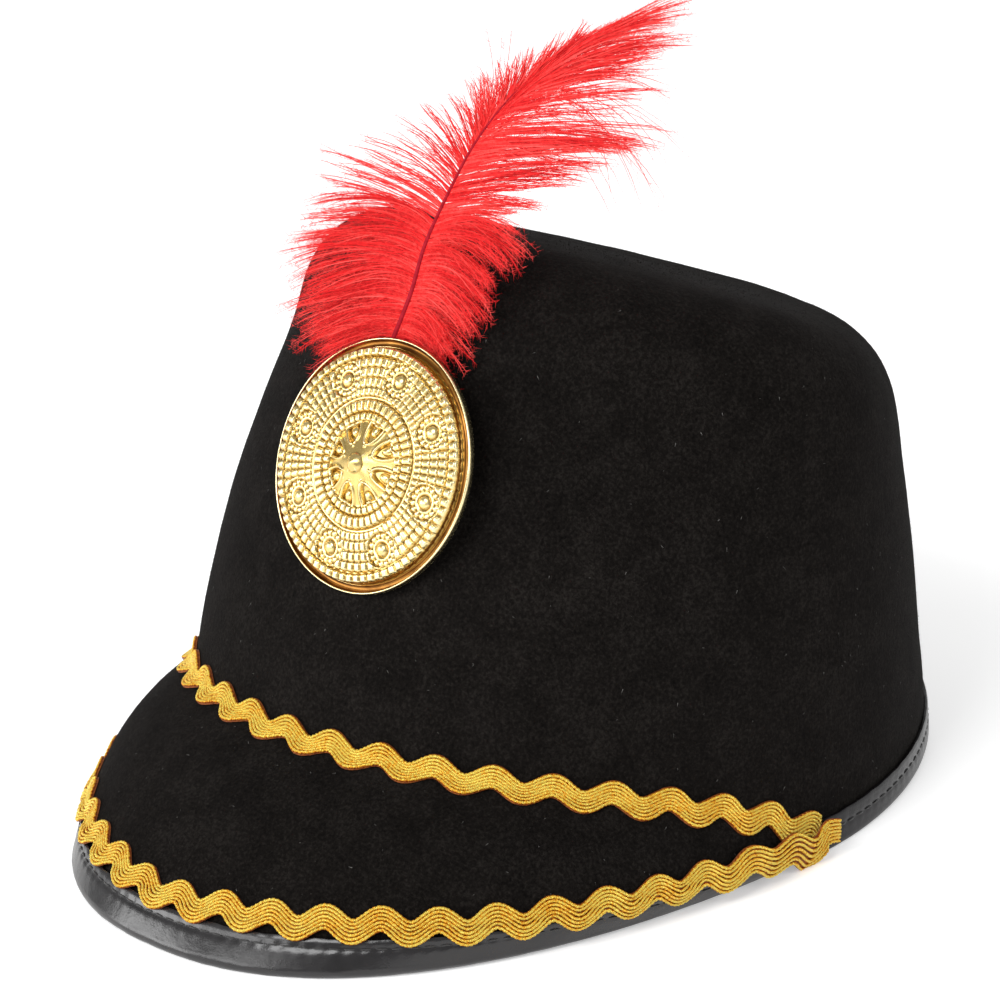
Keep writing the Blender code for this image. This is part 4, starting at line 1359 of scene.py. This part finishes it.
def make_shaft(material):
    root, across, rise, facing, up = PLUME
    shares = np.linspace(0, 1, 70)
    flat = np.array([shaft_at(share) for share in shares])
    tail = [root - up * QUILL_TUCK * share for share in (1, 0.66, 0.33)]
    line = np.concatenate([tail, plume_points(flat, np.linspace(0.0002, 0.0003, 70))])
    sizes = np.concatenate([[SHAFT_ROUND] * 3, SHAFT_ROUND * (1 - shares * 0.78)])[:, None]
    ahead = directions(line)
    side = unit(np.cross(ahead, facing))
    out = np.cross(side, ahead)
    around = 10
    turns = [2 * pi * j / around for j in range(around)]
    rings = [line + (side * cos(turn) + out * sin(turn) * 0.85) * sizes for turn in turns]
    add_tube("plume_shaft", np.transpose(np.array(rings), (1, 0, 2)), material, "plume", "plume")


# Stage, camera and light

def make_stage():
    floor = Nodes("Floor")
    floor.set(Base_Color=(0.93, 0.93, 0.93), Roughness=0.85, Specular_IOR_Level=0.1,
              Emission_Color=(1.0, 1.0, 1.0), Emission_Strength=0.35)
    mesh = bpy.data.meshes.new("floor")
    reach = 6.0
    corners = [(-reach, -reach, 0), (reach, -reach, 0), (reach, reach, 0), (-reach, reach, 0)]
    mesh.from_pydata(corners, [], [(0, 1, 2, 3)])
    mesh.materials.append(floor.material)
    thing = bpy.data.objects.new("floor", mesh)
    bpy.context.scene.collection.objects.link(thing)
    world = bpy.data.worlds.new("Studio")
    bpy.context.scene.world = world
    world.use_nodes = True
    back = world.node_tree.nodes["Background"]
    back.inputs["Color"].default_value = (1.0, 1.0, 1.0, 1)
    back.inputs["Strength"].default_value = 0.45


def add_light(name, place, target, size, power):
    data = bpy.data.lights.new(name, "AREA")
    data.shape = "RECTANGLE"
    data.size, data.size_y = size
    data.energy = power
    thing = bpy.data.objects.new(name, data)
    thing.location = place
    thing.rotation_euler = (Vector(target) - Vector(place)).to_track_quat("-Z", "Y").to_euler()
    bpy.context.scene.collection.objects.link(thing)


def make_camera():
    right = Vector((0.6924, 0.7193, -0.0566))
    back = Vector((0.6823, -0.6272, 0.3757)).normalized()
    right = (right - back * right.dot(back)).normalized()
    data = bpy.data.cameras.new("camera")
    data.sensor_width = 36.0
    data.lens = 193.1
    data.clip_start, data.clip_end = 0.05, 50
    thing = bpy.data.objects.new("camera", data)
    turn = Matrix((right, back.cross(right), back)).transposed().to_4x4()
    thing.matrix_world = Matrix.Translation((0.9613, -0.9001 + SHIFT_BACK, 0.6093)) @ turn
    bpy.context.scene.collection.objects.link(thing)
    bpy.context.scene.camera = thing


bpy.context.scene.view_settings.view_transform = "Standard"
felt = felt_material()
# the visor binding's leather has more shine, for a painted highlight on its roll
leather = leather_material("Black_leatherette", 0.62)
thread = thread_material()
gold_braid = braid_material()
ground = ground_material()
gold = gold_material()
crown_grid = make_crown(felt)
visor_grid = make_visor(felt)
head = np.array((0, SHIFT_BACK, RIM_HEIGHT / 2))
# grid, whether it closes, its share of the fibres and the way it faces
add_nap("felt_", ((crown_grid, True, 0.82, lambda place: place - head),
                  (visor_grid, False, 0.18, lambda place: place * 0 + (0, -0.5, 1))),
        felt, lint_material())
make_visor_binding(leather)
# the crown binding gets a copy of the leather with less shine: painted shade, a duller reflection
# than the visor binding's
make_crown_binding(leather_material("Shaded_leatherette", 0.24))
make_stitches(thread)
make_braid("braid_seam_cords", seam_line, seam_wave, VISOR_END * BRAID_SEAM_SHARE, seam_braid_lift,
           SEAM_BRAID_PERIOD, SEAM_BRAID_LEAD, gold_braid, ground, "braid_seam")
make_braid("braid_visor_cords", rim_line, rim_wave, VISOR_END + BRAID_TAIL / BASE_HALF_DEPTH,
           rim_braid_lift, RIM_BRAID_PERIOD, RIM_BRAID_LEAD, gold_braid, ground, "braid_visor")
make_medallion(gold, dark_groove_material())
red = plume_material("Red_plume", (0.46, 0.005, 0.009), (0.84, 0.022, 0.023), (1.0, 0.12, 0.105))
make_shaft(plume_material("Plume_quill", (0.26, 0.004, 0.012), (0.46, 0.012, 0.027),
                          (0.66, 0.05, 0.06)))
make_side("plume_barbs_left", -1, red, 11)
make_side("plume_barbs_right", 1, red, 12)
make_plume_tip(red)
make_stage()
make_camera()
# name, place, target, size and power
for light in (("key", (0.3, -1.5, 1.6), (0, 0, 0.08), (1.1, 0.9), 24),
              ("side", (1.8, 0.3, 1.0), (0, 0, 0.08), (0.6, 1.1), 10),
              ("back", (-0.7, 1.2, 1.7), (0, 0, 0.1), (1.2, 1.0), 6),
              ("low", (-0.22, -1.58, 0.50), (0, -0.1, 0.02), (0.75, 0.45), 5),
              ("front", (-1.1, -1.25, 0.34), (0, 0, 0.06), (0.9, 0.6), 10)):
    add_light(*light)
